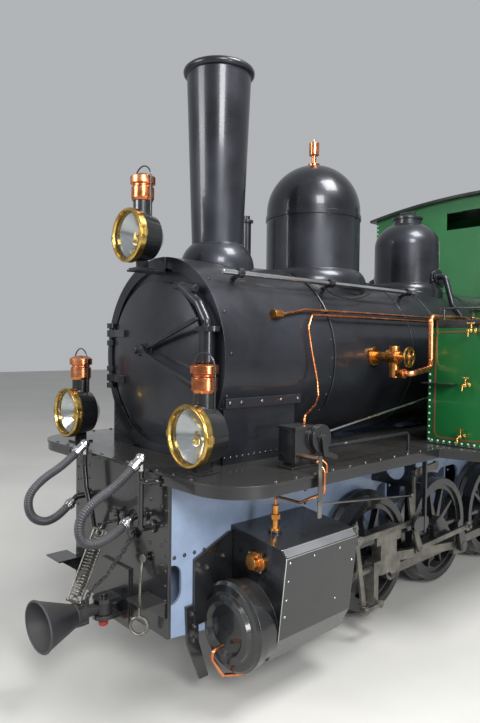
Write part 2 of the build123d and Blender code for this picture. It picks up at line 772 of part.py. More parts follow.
# Side tanks, with a filler neck each, and a coal space at the right one's rear
for name, side in sides.items():
    with BuildPart() as side_tank:
        with BuildSketch(section(cab_front_x)):
            with BuildLine():
                Polyline((side * tank_inner_y, footplate_z), (side * tank_outer_y, footplate_z),
                         (side * tank_outer_y, tank_top_z), (side * tank_inner_y, tank_top_z), close=True)
            make_face()
        extrude(amount=tank_front_x - cab_front_x)
        filler_x = tank_front_x - 420
        with BuildSketch(level(tank_top_z)):
            with Locations((filler_x, side * (tank_inner_y + tank_outer_y) / 2)):
                Circle(filler_radius)
                Circle(filler_radius - 8, mode=Mode.SUBTRACT)
        extrude(amount=60)
        with BuildSketch(level(tank_top_z - 120)):
            with Locations((filler_x, side * (tank_inner_y + tank_outer_y) / 2)):
                Circle(filler_radius - 8)
        extrude(amount=160, mode=Mode.SUBTRACT)
        if name == "right":
            with BuildSketch(level(footplate_z + sheet)):
                with Locations((cab_front_x + 30 + coal_length / 2, side * (tank_inner_y + tank_outer_y) / 2)):
                    Rectangle(coal_length, tank_outer_y - tank_inner_y - 2 * sheet)
            extrude(amount=tank_top_z - footplate_z, mode=Mode.SUBTRACT)
    side_tank.part.label = f"side_tank_{name}"
    export_step(side_tank.part, f"parts/side_tank_{name}.step")

    with BuildPart() as tank_lid:
        lid_y = side * (tank_inner_y + tank_outer_y) / 2
        with BuildSketch(level(tank_top_z + 60.4)):
            with Locations((filler_x, lid_y)):
                Circle(filler_radius + 10)
            with Locations((filler_x - filler_radius - 10, lid_y)):
                Rectangle(60, 50)
        extrude(amount=14)
        with BuildSketch(layer(lid_y + 25)):
            with Locations((filler_x - filler_radius - 40, tank_top_z + 60.4 + 7)):
                Circle(12)
        extrude(amount=50)
        with BuildSketch(level(tank_top_z + 70)):
            with Locations((filler_x + filler_radius - 20, lid_y)):
                Rectangle(20, 90)
        extrude(amount=24)
    tank_lid.part.label = f"tank_lid_{name}"
    export_step(tank_lid.part, f"parts/tank_lid_{name}.step")

# Cab: front and rear walls, side sheets with a doorway and a window, floor and arched roof
with BuildSketch() as cab_outline:
    with BuildLine():
        Polyline((-cab_half, cab_eave_z), (-cab_half, footplate_z), (cab_half, footplate_z), (cab_half, cab_eave_z))
        ThreePointArc((cab_half, cab_eave_z), (0, cab_crown_z), (-cab_half, cab_eave_z))
    make_face()

with BuildPart() as cab_front:
    with BuildSketch(section(cab_front_x - wall)):
        add(cab_outline.sketch_local)
        with Locations((0, boiler_z)):
            Circle(boiler_radius + 1, mode=Mode.SUBTRACT)
        with Locations((-window_y, window_z), (window_y, window_z)):
            Rectangle(window_width, window_height, mode=Mode.SUBTRACT)
        with Locations((0, (vent_foot_z + vent_top_z) / 2)):
            Rectangle(2 * vent_half, vent_top_z - vent_foot_z, mode=Mode.SUBTRACT)
        with Locations((0, footplate_z)):
            Rectangle(2 * firebox_half + 2, 300, mode=Mode.SUBTRACT)
    extrude(amount=wall)
cab_front.part.label = "cab_front"
export_step(cab_front.part, "parts/cab_front.step")

with BuildPart() as cab_rear:
    with BuildSketch(section(cab_rear_x)):
        add(cab_outline.sketch_local)
        with Locations((-window_y, window_z), (window_y, window_z)):
            Rectangle(window_width, window_height, mode=Mode.SUBTRACT)
    extrude(amount=wall)
cab_rear.part.label = "cab_rear"
export_step(cab_rear.part, "parts/cab_rear.step")

for name, side in sides.items():
    with BuildPart() as cab_side:
        with BuildSketch(layer(side * cab_half)):
            with BuildLine():
                Polyline((cab_front_x - wall, footplate_z), (cab_front_x - wall, cab_eave_z),
                         (cab_rear_x + wall, cab_eave_z), (cab_rear_x + wall, footplate_z), close=True)
            make_face()
            with BuildLine():
                Polyline((door_front_x, footplate_z - 1), (door_front_x, doorway_top_z - 120))
                RadiusArc((door_front_x, doorway_top_z - 120), (door_front_x - 120, doorway_top_z), -120)
                Line((door_front_x - 120, doorway_top_z), (door_rear_x + 120, doorway_top_z))
                RadiusArc((door_rear_x + 120, doorway_top_z), (door_rear_x, doorway_top_z - 120), -120)
                Polyline((door_rear_x, doorway_top_z - 120), (door_rear_x, footplate_z - 1),
                         (door_front_x, footplate_z - 1))
            make_face(mode=Mode.SUBTRACT)
        extrude(amount=side * wall)
        for knuckle_z in knuckle_zs:
            with BuildSketch(level(knuckle_z - 40)):
                with Locations((door_rear_x, side * hinge_y)):
                    Circle(knuckle_radius)
                with Locations((door_rear_x - 20, side * (hinge_y + 5))):
                    Rectangle(40, 12)
            extrude(amount=39.7)
    cab_side.part.label = f"cab_side_{name}"
    export_step(cab_side.part, f"parts/cab_side_{name}.step")

    with BuildPart() as cab_door:
        with BuildSketch(layer(side * (cab_half - 1))):
            with Locations(((door_front_x + door_rear_x) / 2, (footplate_z + 30 + half_door_top_z) / 2)):
                Rectangle(door_front_x - door_rear_x - 2 * door_play, half_door_top_z - footplate_z - 30)
        extrude(amount=side * door_thickness)
        for knuckle_z in knuckle_zs:
            with BuildSketch(level(knuckle_z)):
                with Locations((door_rear_x, side * hinge_y)):
                    Circle(knuckle_radius)
                with Locations((door_rear_x + 30, side * (hinge_y + 5))):
                    Rectangle(60, 8)
                with Locations((door_rear_x + 30, side * (hinge_y + 9))):
                    Rectangle(40, 6)
            extrude(amount=50)
    cab_door.part.label = f"cab_door_{name}"
    export_step(cab_door.part, f"parts/cab_door_{name}.step")

roof_radius = (cab_half ** 2 + (cab_crown_z - cab_eave_z) ** 2) / (2 * (cab_crown_z - cab_eave_z))
with BuildPart() as cab_roof:
    with BuildSketch(section(cab_rear_x - roof_overhang)):
        with Locations((0, cab_crown_z - roof_radius)):
            Circle(roof_radius + 0.3 + roof_thickness)
            Circle(roof_radius + 0.3, mode=Mode.SUBTRACT)
        with Locations((0, cab_crown_z)):
            Rectangle(2 * (cab_half + roof_eave), 600, mode=Mode.INTERSECT)
    extrude(amount=cab_front_x - cab_rear_x + 2 * roof_overhang)
cab_roof.part.label = "cab_roof"
export_step(cab_roof.part, "parts/cab_roof.step")

# Cylinders: barrel, stepped front cover, steam chest and its trapezoid cladding
with BuildPart() as cylinders:
    for side in sides.values():
        with BuildSketch(section(cylinder_rear_x)):
            with BuildLine():
                Polyline((side * (outer_frame_y + 0.3), cladding_top_z + 40),
                         (side * (cladding_y - 30), cladding_top_z), (side * cladding_y, cladding_top_z - 34),
                         (side * (cylinder_y + 196), cylinder_z - 40), (side * (cylinder_y + 130), cylinder_z - 160),
                         (side * (cylinder_y - 60), cylinder_z - 190),
                         (side * (outer_frame_y + 0.3), cylinder_z - 120), close=True)
            make_face()
        extrude(amount=cladding_front_x - cylinder_rear_x)
        with BuildSketch(Plane((0, side * cylinder_y, cylinder_z), x_dir=(1, 0, 0), z_dir=(0, -1, 0))):
            with BuildLine():
                Polyline((cylinder_rear_x - 50, 0), (cylinder_rear_x - 50, 70), (cylinder_rear_x - 30, 130),
                         (cylinder_rear_x + 2, 138), (cladding_front_x - 10, 138), (cladding_front_x - 10, 196),
                         (cylinder_front_x, 196), (cylinder_front_x, cylinder_flange_radius),
                         (cylinder_front_x + 46, cylinder_flange_radius), (cylinder_front_x + 60, 200),
                         (cylinder_front_x + 66, 168), (cylinder_front_x + 88, 160), (cylinder_front_x + 92, 128),
                         (cylinder_front_x + 70, 110), (cylinder_front_x + 66, 0), close=True)
            make_face()
        revolve(axis=Axis((0, side * cylinder_y, cylinder_z), (1, 0, 0)))
        with BuildSketch(section(cylinder_rear_x - 60)):
            with Locations((side * cylinder_y, cylinder_z)):
                Circle(piston_rod_radius + 0.6)
        extrude(amount=piston_stroke + piston_reach + 80, mode=Mode.SUBTRACT)
        with BuildSketch(level(cladding_top_z)):
            with Locations((oil_valve_x, side * valve_y)):
                Circle(34)
        extrude(amount=oil_pad_z - cladding_top_z)
    with BuildSketch(level(0)):
        Rectangle(2 * frame_front_x, 2 * outer_frame_y + 0.6)
    extrude(amount=footplate_under_z, mode=Mode.SUBTRACT)
cylinders.part.label = "cylinders"
export_step(cylinders.part, "parts/cylinders.step")

# Crosshead of each side round its guide bar, with the piston rod and the drop arm
for name, side in sides.items():
    pin_at = crosshead_pin_x[name]
    with BuildPart() as crosshead:
        with BuildSketch(layer(side * crosshead_y)):
            with Locations((pin_at + 60, cylinder_z + 60)):
                Rectangle(170, 220)
            with Locations((pin_at, cylinder_z)):
                Circle(68)
            with Locations((pin_at + 60, guide_bar_z)):
                Rectangle(260, guide_bar_height + 44)
            with Locations((pin_at + drop_arm_x - 30, cylinder_z)):
                Rectangle(110, 90)
            with Locations((pin_at + drop_arm_x, (cylinder_z + union_z) / 2)):
                Rectangle(44, cylinder_z - union_z)
            with Locations((pin_at + drop_arm_x, union_z)):
                Circle(26)
        extrude(amount=-side * crosshead_width)
        with BuildSketch(layer(side * (crosshead_y + bar_inset - 0.5))):
            with Locations((pin_at + 60, guide_bar_z)):
                Rectangle(300, guide_bar_height + 1)
        extrude(amount=-side * (crosshead_width - 2 * bar_inset + 1), mode=Mode.SUBTRACT)
        with BuildSketch(section(pin_at + 20)):
            with Locations((side * cylinder_y, cylinder_z)):
                Circle(piston_rod_radius)
        extrude(amount=cylinder_rear_x + piston_reach - pin_at - 20)
    crosshead.part.label = f"crosshead_{name}"
    export_step(crosshead.part, f"parts/crosshead_{name}.step")

# Valve gear of each side in two layers: combination lever, union link, radius rod, expansion
# link, eccentric rod, lifting link and reversing arm, with their pins
with BuildPart() as valve_gear:
    for name, side in sides.items():
        back_x, back_z = return_pin(name)
        union_rear = (crosshead_pin_x[name] + drop_arm_x, union_z)
        lever_foot = (union_rear[0] + union_link_length, union_z)
        lever_pin = (lever_top_x - 22, valve_z - 70)
        die_pin = (link_x - 20, link_z + 10)
        link_foot = (link_x - 90, link_z - 190)
        lift_pin = (link_x - 30, reverse_z)
        ecc_end = (driver_x + back_x, axle_z + back_z)
        bars = (
            # first end, second end, width, eye radius, layer
            (lever_foot, (lever_top_x, valve_z), 34, 26, 0),
            (union_rear, lever_foot, 24, 24, 1),
            (lever_pin, die_pin, 34, 26, 1),
            (link_foot, ecc_end, 34, 34, 0),
            (die_pin, lift_pin, 22, 20, 0),
            (lift_pin, (link_x - 260, reverse_z + 14), 44, 30, 1),
        )
        for first, second, bar_width, eye, step in bars:
            with BuildSketch(layer(side * (gear_y + step * (gear_thickness + 1)))):
                length = math.dist(first, second)
                turn = math.degrees(math.atan2(second[1] - first[1], second[0] - first[0]))
                with Locations(Location(((first[0] + second[0]) / 2, (first[1] + second[1]) / 2, 0), (0, 0, turn))):
                    Rectangle(length, bar_width)
                with Locations(first, second):
                    Circle(eye)
            extrude(amount=-side * gear_thickness)
        for pin in (lever_foot, union_rear, lever_pin, lift_pin, die_pin, link_foot, ecc_end):
            with BuildSketch(layer(side * gear_y)):
                with Locations(pin):
                    Circle(14)
            extrude(amount=-side * (2 * gear_thickness + 5))
        with BuildSketch(layer(side * (gear_y + gear_thickness + 1))):
            with BuildLine():
                ThreePointArc((link_x + 70, link_z + 190), (link_x + 20, link_z), (link_x - 70, link_z - 200))
                Line((link_x - 70, link_z - 200), (link_x - 120, link_z - 180))
                ThreePointArc((link_x - 120, link_z - 180), (link_x - 30, link_z), (link_x + 10, link_z + 200))
                Line((link_x + 10, link_z + 200), (link_x + 70, link_z + 190))
            make_face()
        extrude(amount=-side * gear_thickness)
        with BuildSketch(section(lever_top_x)):
            with Locations((side * (gear_y + gear_thickness / 2), valve_z)):
                Circle(14)
        extrude(amount=cylinder_rear_x - lever_top_x - 0.3)
    # Thin rod and hanging strip that drive the lubricator on the left
    with BuildSketch(Plane(drive_foot, z_dir=Vector(*drive_top) - Vector(*drive_foot))):
        Circle(5)
    extrude(amount=math.dist(drive_foot, drive_top))
    with BuildSketch(layer(drive_foot[1] + 10)):
        with Locations((drive_foot[0], drive_foot[2])):
            Circle(16)
    extrude(amount=drive_foot[1] + 10 - gear_y - 2 * gear_thickness)
    with BuildSketch(layer(drive_top[1] + 4)):
        with Locations((drive_top[0], (drive_strip_top_z + drive_strip_foot_z) / 2)):
            Rectangle(22, drive_strip_top_z - drive_strip_foot_z)
        with Locations((drive_top[0], drive_top[2])):
            Circle(16)
    extrude(amount=8)
    with BuildSketch(layer(drive_top[1])):
        with Locations((drive_top[0], drive_strip_top_z - 14)):
            Circle(8)
    extrude(amount=drive_top[1] - lubricator_outer_y - 0.3)
valve_gear.part.label = "valve_gear"
export_step(valve_gear.part, "parts/valve_gear.step")

# Motion plates with the guide bars: brackets across from the frame to the expansion link
with BuildPart() as motion_plates:
    for side in sides.values():
        gear_outer = side * (gear_outer_y + 6)
        with BuildSketch(layer(side * (crosshead_y + bar_inset))):
            with Locations(((cylinder_rear_x + motion_plate_x) / 2, guide_bar_z)):
                Rectangle(cylinder_rear_x - motion_plate_x - 0.6, guide_bar_height)
        extrude(amount=-side * (crosshead_width - 2 * bar_inset))
        with BuildSketch(section(motion_plate_x)):
            with BuildLine():
                Polyline((side * (frame_y + 0.3), motion_foot_z), (side * (frame_y + 0.3), footplate_under_z - 0.3),
                         (gear_outer + side * 24, footplate_under_z - 0.3), (gear_outer + side * 24, link_z - 60),
                         (gear_outer, link_z - 60), (gear_outer, motion_foot_z),
                         (side * (crosshead_y + crosshead_width), motion_foot_z),
                         (side * (crosshead_y + crosshead_width), guide_bar_z - 22),
                         (side * crosshead_y, guide_bar_z - 22), (side * crosshead_y, motion_foot_z), close=True)
            make_face()
            with Locations((side * 470, 940)):
                Circle(76, mode=Mode.SUBTRACT)
            with Locations((side * (gear_y + gear_thickness), reverse_z)):
                Rectangle(2 * gear_thickness + 24, 150, mode=Mode.SUBTRACT)
        extrude(amount=-16)
        with BuildSketch(layer(gear_outer)):
            with Locations(((motion_plate_x + link_x) / 2, link_z)):
                SlotOverall(abs(motion_plate_x - link_x) + 110, 90)
        extrude(amount=-side * 20)
motion_plates.part.label = "motion_plates"
export_step(motion_plates.part, "parts/motion_plates.step")

# Front and rear trumpet couplers: a long neck pivots on the frame and ends in an oval funnel
for name, facing in ends.items():
    pivot_x = facing * coupler_pivot_x
    mouth_x = facing * coupler_mouth_x
    with BuildPart() as coupler:
        with BuildSketch(section(mouth_x)):
            with Locations((0, coupler_z)):
                Ellipse(coupler_mouth_width / 2, coupler_mouth_height / 2)
        with BuildSketch(section(mouth_x - facing * funnel_depth)):
            with Locations((0, coupler_z)):
                Ellipse(funnel_throat, funnel_throat)
        loft()
        with BuildSketch(section(mouth_x + facing * 0.01)):
            with Locations((0, coupler_z)):
                Ellipse(coupler_mouth_width / 2 - funnel_wall, coupler_mouth_height / 2 - funnel_wall)
        with BuildSketch(section(mouth_x - facing * (funnel_depth + 0.01))):
            with Locations((0, coupler_z)):
                Ellipse(funnel_throat - funnel_wall, funnel_throat - funnel_wall)
        loft(mode=Mode.SUBTRACT)
        with BuildSketch(section(mouth_x - facing * (funnel_depth - 12))):
            with Locations((0, coupler_z)):
                Circle(funnel_throat)
        extrude(amount=-facing * 60)
        with BuildSketch(section(mouth_x - facing * funnel_depth)):
            with Locations((0, coupler_z)):
                Circle(neck_radius)
        extrude(amount=-facing * (abs(mouth_x - pivot_x) - funnel_depth))
        with BuildSketch(level(coupler_z - 30)):
            with Locations((pivot_x, 0)):
                Circle(46)
        extrude(amount=60)
        with BuildSketch(level(coupler_z - 31)):
            with Locations((pivot_x, 0)):
                Circle(coupler_pin_radius + 0.6)
        extrude(amount=62, mode=Mode.SUBTRACT)
    coupler.part.label = f"coupler_{name}"
    export_step(coupler.part, f"parts/coupler_{name}.step")

# Lamps: (x, y, centre height, ring radius, +1 shows forwards), with forked brackets and bails
with BuildPart() as lamp_bodies:
    for lamp_x, lamp_y, lamp_z, ring, facing in lamps:
        with BuildSketch(Plane((0, lamp_y, lamp_z), x_dir=(1, 0, 0), z_dir=(0, -1, 0))):
            with BuildLine():
                Polyline((lamp_x - facing * 40, ring - 16), (lamp_x - facing * 40, ring - 4),
                         (lamp_x - facing * 150, ring - 24), (lamp_x - facing * 190, 0.5 * ring),
                         (lamp_x - facing * 196, 0), (lamp_x - facing * 184, 0),
                         (lamp_x - facing * 176, 0.4 * ring), (lamp_x - facing * 146, ring - 36), close=True)
            make_face()
        revolve(axis=Axis((0, lamp_y, lamp_z), (1, 0, 0)))
        with BuildSketch(upright(lamp_x - facing * lamp_set, lamp_y)):
            with BuildLine():
                Polyline((lamp_neck - 6, lamp_z + ring - 30), (lamp_neck, lamp_z + ring - 30),
                         (lamp_neck, lamp_z + ring + 46), (0, lamp_z + ring + 46), (0, lamp_z + ring + 34),
                         (lamp_neck - 6, lamp_z + ring + 34), close=True)
            make_face()
        revolve(axis=Axis((lamp_x - facing * lamp_set, lamp_y, 0), (0, 0, 1)))
        with BuildSketch(level(lamp_z - ring - lamp_foot)):
            with Locations((lamp_x - facing * lamp_set, lamp_y)):
                Rectangle(110, 90)
        extrude(amount=10)
        with BuildSketch(level(lamp_z - ring - lamp_foot)):
            with Locations((lamp_x - facing * lamp_set, lamp_y)):
                Rectangle(70, 12)
        extrude(amount=lamp_foot + 20)
        bail_x = lamp_x - facing * lamp_set
        bail_z = lamp_z + math.sqrt((ring - 16) ** 2 - bail_half ** 2) - 4
        bail_top_z = lamp_z + ring + 230
        with BuildLine():
            Line((bail_x, lamp_y - bail_half, bail_z), (bail_x, lamp_y - bail_half, bail_top_z - 90))
            ThreePointArc((bail_x, lamp_y - bail_half, bail_top_z - 90), (bail_x, lamp_y, bail_top_z),
                          (bail_x, lamp_y + bail_half, bail_top_z - 90))
            Line((bail_x, lamp_y + bail_half, bail_top_z - 90), (bail_x, lamp_y + bail_half, bail_z))
        with BuildSketch(level(bail_z)):
            with Locations((bail_x, lamp_y - bail_half)):
                Circle(4)
        sweep()
lamp_bodies.part.label = "lamp_bodies"
export_step(lamp_bodies.part, "parts/lamp_bodies.step")

with BuildPart() as lamp_rims:
    for lamp_x, lamp_y, lamp_z, ring, facing in lamps:
        with BuildSketch(Plane((0, lamp_y, lamp_z), x_dir=(1, 0, 0), z_dir=(0, -1, 0))):
            with BuildLine():
                Polyline((lamp_x - facing * 39.7, ring - 16), (lamp_x - facing * 39.7, ring),
                         (lamp_x - facing * 8, ring), (lamp_x, ring - 6), (lamp_x, ring - 16),
                         (lamp_x - facing * 10, ring - 20), close=True)
            make_face()
        revolve(axis=Axis((0, lamp_y, lamp_z), (1, 0, 0)))
lamp_rims.part.label = "lamp_rims"
export_step(lamp_rims.part, "parts/lamp_rims.step")

with BuildPart() as lamp_glasses:
    for lamp_x, lamp_y, lamp_z, ring, facing in lamps:
        with BuildSketch(section(lamp_x - facing * 30)):
            with Locations((lamp_y, lamp_z)):
                Circle(ring - 19)
        extrude(amount=facing * 5)
lamp_glasses.part.label = "lamp_glasses"
export_step(lamp_glasses.part, "parts/lamp_glasses.step")

with BuildPart() as lamp_reflectors:
    for lamp_x, lamp_y, lamp_z, ring, facing in lamps:
        with BuildSketch(Plane((0, lamp_y, lamp_z), x_dir=(1, 0, 0), z_dir=(0, -1, 0))):
            with BuildLine():
                Polyline((lamp_x - facing * 40, ring - 17.5), (lamp_x - facing * 40, ring - 21.5),
                         (lamp_x - facing * 114, 30), (lamp_x - facing * 114, 0), (lamp_x - facing * 120, 0),
                         (lamp_x - facing * 120, 34), close=True)
            make_face()
        revolve(axis=Axis((0, lamp_y, lamp_z), (1, 0, 0)))
        with BuildSketch(section(lamp_x - facing * 114)):
            with Locations((lamp_y, lamp_z)):
                Circle(12)
        extrude(amount=facing * 40)
lamp_reflectors.part.label = "lamp_reflectors"
export_step(lamp_reflectors.part, "parts/lamp_reflectors.step")

with BuildPart() as lamp_caps:
    for lamp_x, lamp_y, lamp_z, ring, facing in lamps:
        cap_z = lamp_z + ring + 46.3
        with BuildSketch(upright(lamp_x - facing * lamp_set, lamp_y)):
            with BuildLine():
                Polyline((0, cap_z), (lamp_neck + 4, cap_z), (lamp_neck + 10, cap_z + 14), (lamp_neck + 10, cap_z + 70),
                         (lamp_neck + 2, cap_z + 76), (lamp_neck + 2, cap_z + 84), (lamp_neck + 16, cap_z + 90),
                         (lamp_neck + 16, cap_z + 124), (lamp_neck + 4, cap_z + 132), (lamp_neck - 14, cap_z + 140),
                         (0, cap_z + 144), close=True)
            make_face()
        revolve(axis=Axis((lamp_x - facing * lamp_set, lamp_y, 0), (0, 0, 1)))
lamp_caps.part.label = "lamp_caps"
export_step(lamp_caps.part, "parts/lamp_caps.step")

# Handrails along the boiler on short posts
with BuildPart() as handrails:
    for side in sides.values():
        with BuildSketch(section(rail_rear_x)):
            with Locations((side * handrail_y, handrail_z)):
                Circle(handrail_radius)
        extrude(amount=rail_front_x - rail_rear_x)
    rod_start = Vector(cab_front_x + 1, 566, 1636)
    rod_end = Vector(lubricator_x - lubricator_length / 2 - 1.3, 779.6, 1306.7)
    with BuildSketch(Plane(rod_start, z_dir=rod_end - rod_start)):
        Circle(6)
    extrude(amount=(rod_end - rod_start).length)
handrails.part.label = "handrails"
export_step(handrails.part, "parts/handrails.step")

with BuildPart() as handrail_posts:
    for side in sides.values():
        for post_x in post_xs:
            foot = (post_x, side * post_foot_y, boiler_z + math.sqrt(boiler_radius ** 2 - post_foot_y ** 2) - 8)
            head = (post_x, side * handrail_y, handrail_z)
            with BuildLine() as post_line:
                Line(foot, head)
            with BuildSketch(Plane(foot, z_dir=Vector(*head) - Vector(*foot))):
                Circle(13)
            sweep(path=post_line.line)
            with BuildSketch(section(post_x - 16)):
                with Locations((side * handrail_y, handrail_z)):
                    Circle(handrail_radius + 11)
                    Circle(handrail_radius + 0.3, mode=Mode.SUBTRACT)
            extrude(amount=32)
            with BuildSketch(section(post_x - 17)):
                with Locations((side * handrail_y, handrail_z)):
                    Circle(handrail_radius + 0.3)
            extrude(amount=34, mode=Mode.SUBTRACT)
    for start_x, end_x, drum in ((0, smokebox_rear_x, boiler_radius), (smokebox_rear_x, 2100, smokebox_radius)):
        with BuildSketch(section(start_x)):
            with Locations((0, boiler_z)):
                Circle(drum + 0.3)
        extrude(amount=end_x - start_x, mode=Mode.SUBTRACT)
handrail_posts.part.label = "handrail_posts"
export_step(handrail_posts.part, "parts/handrail_posts.step")

# Copper pipes: oil pipes over the boiler and to the lubricator, drain pipes, and feed pipes over the tanks
copper_routes = [
    # tube radius, bend radius, points
    (7.5, 60, ((1688.5, 505, 1917), (1490, 490, 1950), (474, 488, 1953), (cab_front_x + 0.3, 490, 1949))),
    (7.5, 30, ((lubricator_x - 50, 745, lubricator_top_z + 14.3), (lubricator_x - 50, 745, 1406), (1600, 660, 1436),
               (1500, 600, 1480), (1482, 576, 1560), (1520, 562, 1740), (1524, 544, 1850), (1462, 516, 1922),
               (cab_front_x + 0.3, 516, 1922))),
    (7, 20, ((1864, lubricator_outer_y + 0.3, 1222), (1864, 900, 1222), (1864, 948, 1180), (1864, 948, 1080),
             (1864, 800, 1004), (1864, valve_y, 1004), (1864, valve_y, 960.3))),
    (7, 20, ((1800, lubricator_outer_y + 0.3, 1222), (1800, 862, 1222), (1770, 884, 1190), (1770, 884, footplate_z + 0.3))),
]
for side in sides.values():
    copper_routes.append((9, 18, ((2157, side * cylinder_y, 330), (2216, side * cylinder_y, 322),
                                  (2222, side * cylinder_y, 288), (2154, side * cylinder_y, 184),
                                  (2015, side * cylinder_y, 140))))
    copper_routes.append((17.5, 30, ((feed_x, side * 764.3, feed_z - 97), (feed_x, side * 806, feed_z - 97),
                                     (tank_front_x + 50, side * (feed_pipe_y + 10), feed_z - 68),
                                     (tank_front_x + 28, side * (feed_pipe_y + 2), feed_z - 20),
                                     (tank_front_x + 28, side * feed_pipe_y, feed_pipe_z),
                                     (cab_front_x + 0.3, side * feed_pipe_y, feed_pipe_z))))
with BuildPart() as copper_pipes:
    for tube, bend, points in copper_routes:
        with BuildLine() as run:
            FilletPolyline(*points, radius=bend)
        with BuildSketch(Plane(points[0], z_dir=run.line % 0)):
            Circle(tube)
        sweep(path=run.line)
copper_pipes.part.label = "copper_pipes"
export_step(copper_pipes.part, "parts/copper_pipes.step")

# Brass and bronze: fitting on the smokebox, feed valves with handwheels, glands and oil valves
with BuildPart() as brass_fittings:
    with BuildSketch(section(1690.3)):
        with Locations((505, 1917)):
            RegularPolygon(18, 6)
    extrude(amount=26)
    with BuildSketch(section(1716)):
        with Locations((505, 1917)):
            Circle(24)
    extrude(amount=44)
    for side in sides.values():
        spots = (
            # radius, height of the axis, from y, to y
            (58, feed_z, boiler_radius - 40, 556),
            (28, feed_z, 550, 650),
            (44, feed_z, 650, 716),
            (30, feed_z, 716, 734),
            (9, feed_z, 734, 800),
            (60, feed_z, 784, 794),
            (28, feed_z - 97, 724, 764),
        )
        for radius, spot_z, from_y, to_y in spots:
            with BuildSketch(layer(side * from_y)):
                with Locations((feed_x, spot_z)):
                    Circle(radius)
            extrude(amount=-side * (to_y - from_y))
        with BuildSketch(layer(side * 780)):
            with Locations((feed_x, feed_z)):
                with PolarLocations(34, 4, start_angle=45):
                    Circle(15)
        extrude(amount=-side * 18, mode=Mode.SUBTRACT)
        with BuildSketch(level(feed_z - 122)):
            with Locations((feed_x, side * 690)):
                Circle(30)
        extrude(amount=186)
        with BuildSketch(level(feed_z - 116)):
            with Locations((feed_x, side * 710)):
                Rectangle(44, 40)
        extrude(amount=38)
        with BuildSketch(section(cladding_front_x + 0.3)):
            with Locations((side * valve_y, valve_z)):
                Ellipse(62, 48)
        extrude(amount=16)
        with BuildSketch(section(cladding_front_x + 0.3)):
            with Locations((side * valve_y, valve_z)):
                Circle(32)
        extrude(amount=46)
        with BuildSketch(level(oil_pad_z + 0.3)):
            with Locations((oil_valve_x, side * valve_y)):
                Circle(28)
        extrude(amount=14)
        with BuildSketch(level(oil_pad_z + 0.3)):
            with Locations((oil_valve_x, side * valve_y)):
                Circle(17)
        extrude(amount=960 - oil_pad_z - 0.3)
        with BuildSketch(level(890)):
            with Locations((oil_valve_x, side * valve_y)):
                RegularPolygon(26, 6)
        extrude(amount=26)
    with BuildSketch(section(0)):
        with Locations((0, boiler_z)):
            Circle(boiler_radius + 0.3)
    extrude(amount=smokebox_rear_x, mode=Mode.SUBTRACT)
    with BuildSketch(section(smokebox_rear_x)):
        with Locations((0, boiler_z)):
            Circle(smokebox_radius + 0.3)
    extrude(amount=smokebox_front_x - smokebox_rear_x, mode=Mode.SUBTRACT)
brass_fittings.part.label = "brass_fittings"
export_step(brass_fittings.part, "parts/brass_fittings.step")

# Lubricator: box on a foot with a lid, a ratchet drum on its outer side and the lever
with BuildPart() as lubricator:
    box_y = (lubricator_inner_y + lubricator_outer_y) / 2
    box_width = lubricator_outer_y - lubricator_inner_y
    steps = (
        # from z, to z, length, width
        (footplate_z + 0.3, lubricator_foot_z, lubricator_length - 40, box_width - 30),
        (footplate_z + 0.3, footplate_z + 10, lubricator_length + 30, box_width - 10),
        (lubricator_foot_z, lubricator_top_z, lubricator_length, box_width),
        (lubricator_top_z, lubricator_top_z + 14, lubricator_length + 10, box_width + 10),
    )
    for from_z, to_z, length, width in steps:
        with BuildSketch(level(from_z)):
            with Locations((lubricator_x, box_y)):
                Rectangle(length, width)
        extrude(amount=to_z - from_z)
    with BuildSketch(layer(lubricator_outer_y)):
        with Locations((1740, 1303)):
            Circle(68)
    extrude(amount=-30)
    with BuildSketch(layer(lubricator_outer_y)):
        with Locations((1740, 1303)):
            Circle(20)
    extrude(amount=-48)
    with BuildSketch(layer(lubricator_outer_y + 34)):
        with Locations((1740, 1303), (1725, 1230)):
            Circle(18)
        make_hull()
    extrude(amount=-12)
    with BuildSketch(layer(lubricator_outer_y + 34)):
        with Locations((1725, 1230), (1650, 1203)):
            Circle(13)
        make_hull()
    extrude(amount=-12)
    with BuildSketch(section(lubricator_x - 30)):
        with Locations((lubricator_inner_y + 40, 1303)):
            Circle(12)
    extrude(amount=20)
lubricator.part.label = "lubricator"
export_step(lubricator.part, "parts/lubricator.step")

# Dark pipes: exhaust pipe up the smokebox front, sand pipes and the stand pipe
dark_routes = [
    # tube radius, bend radius, points
    (37.5, 0, ((2165, 457, footplate_z + 0.3), (2165, 457, 1830))),
    (24, 44, ((2165, 457, 1826), (2165, 457, 1862), (2165, 392, 1955), (2165, 250, 2048))),
    (18, 0, ((2165, 250, 2048), (smokebox_front_x + 0.3, 250, 2048))),
    (18, 0, ((2165, 196, 2053), (2165, 372, 2027))),
    (9, 24, ((lubricator_x - lubricator_length / 2 - 0.3, 730, 1232), (1640, 730, 1232), (1560, 838, 1262),
             (985, 838, 1262), (985, 838, footplate_z + 0.3))),
    (28, 0, ((1245, -250, 2140), (1245, -250, 2560))),
    (42, 0, ((1245, -250, 2560), (1245, -250, 2576))),
    (20, 0, ((1245, -250, 2576), (1245, -250, 2605))),
]
for side in sides.values():
    dark_routes += [
        (40, 0, ((sand_dome_x, side * 215, sand_valve_z), (sand_dome_x, side * 268, sand_valve_z))),
        (52, 0, ((sand_dome_x, side * 268, sand_valve_z), (sand_dome_x, side * 280, sand_valve_z))),
        (22, 40, ((sand_dome_x, side * 280, sand_valve_z - 5), (sand_dome_x, side * 340, sand_valve_z - 5),
                  (sand_dome_x, side * 404, 2075), (-345, side * 450, 1988))),
    ]
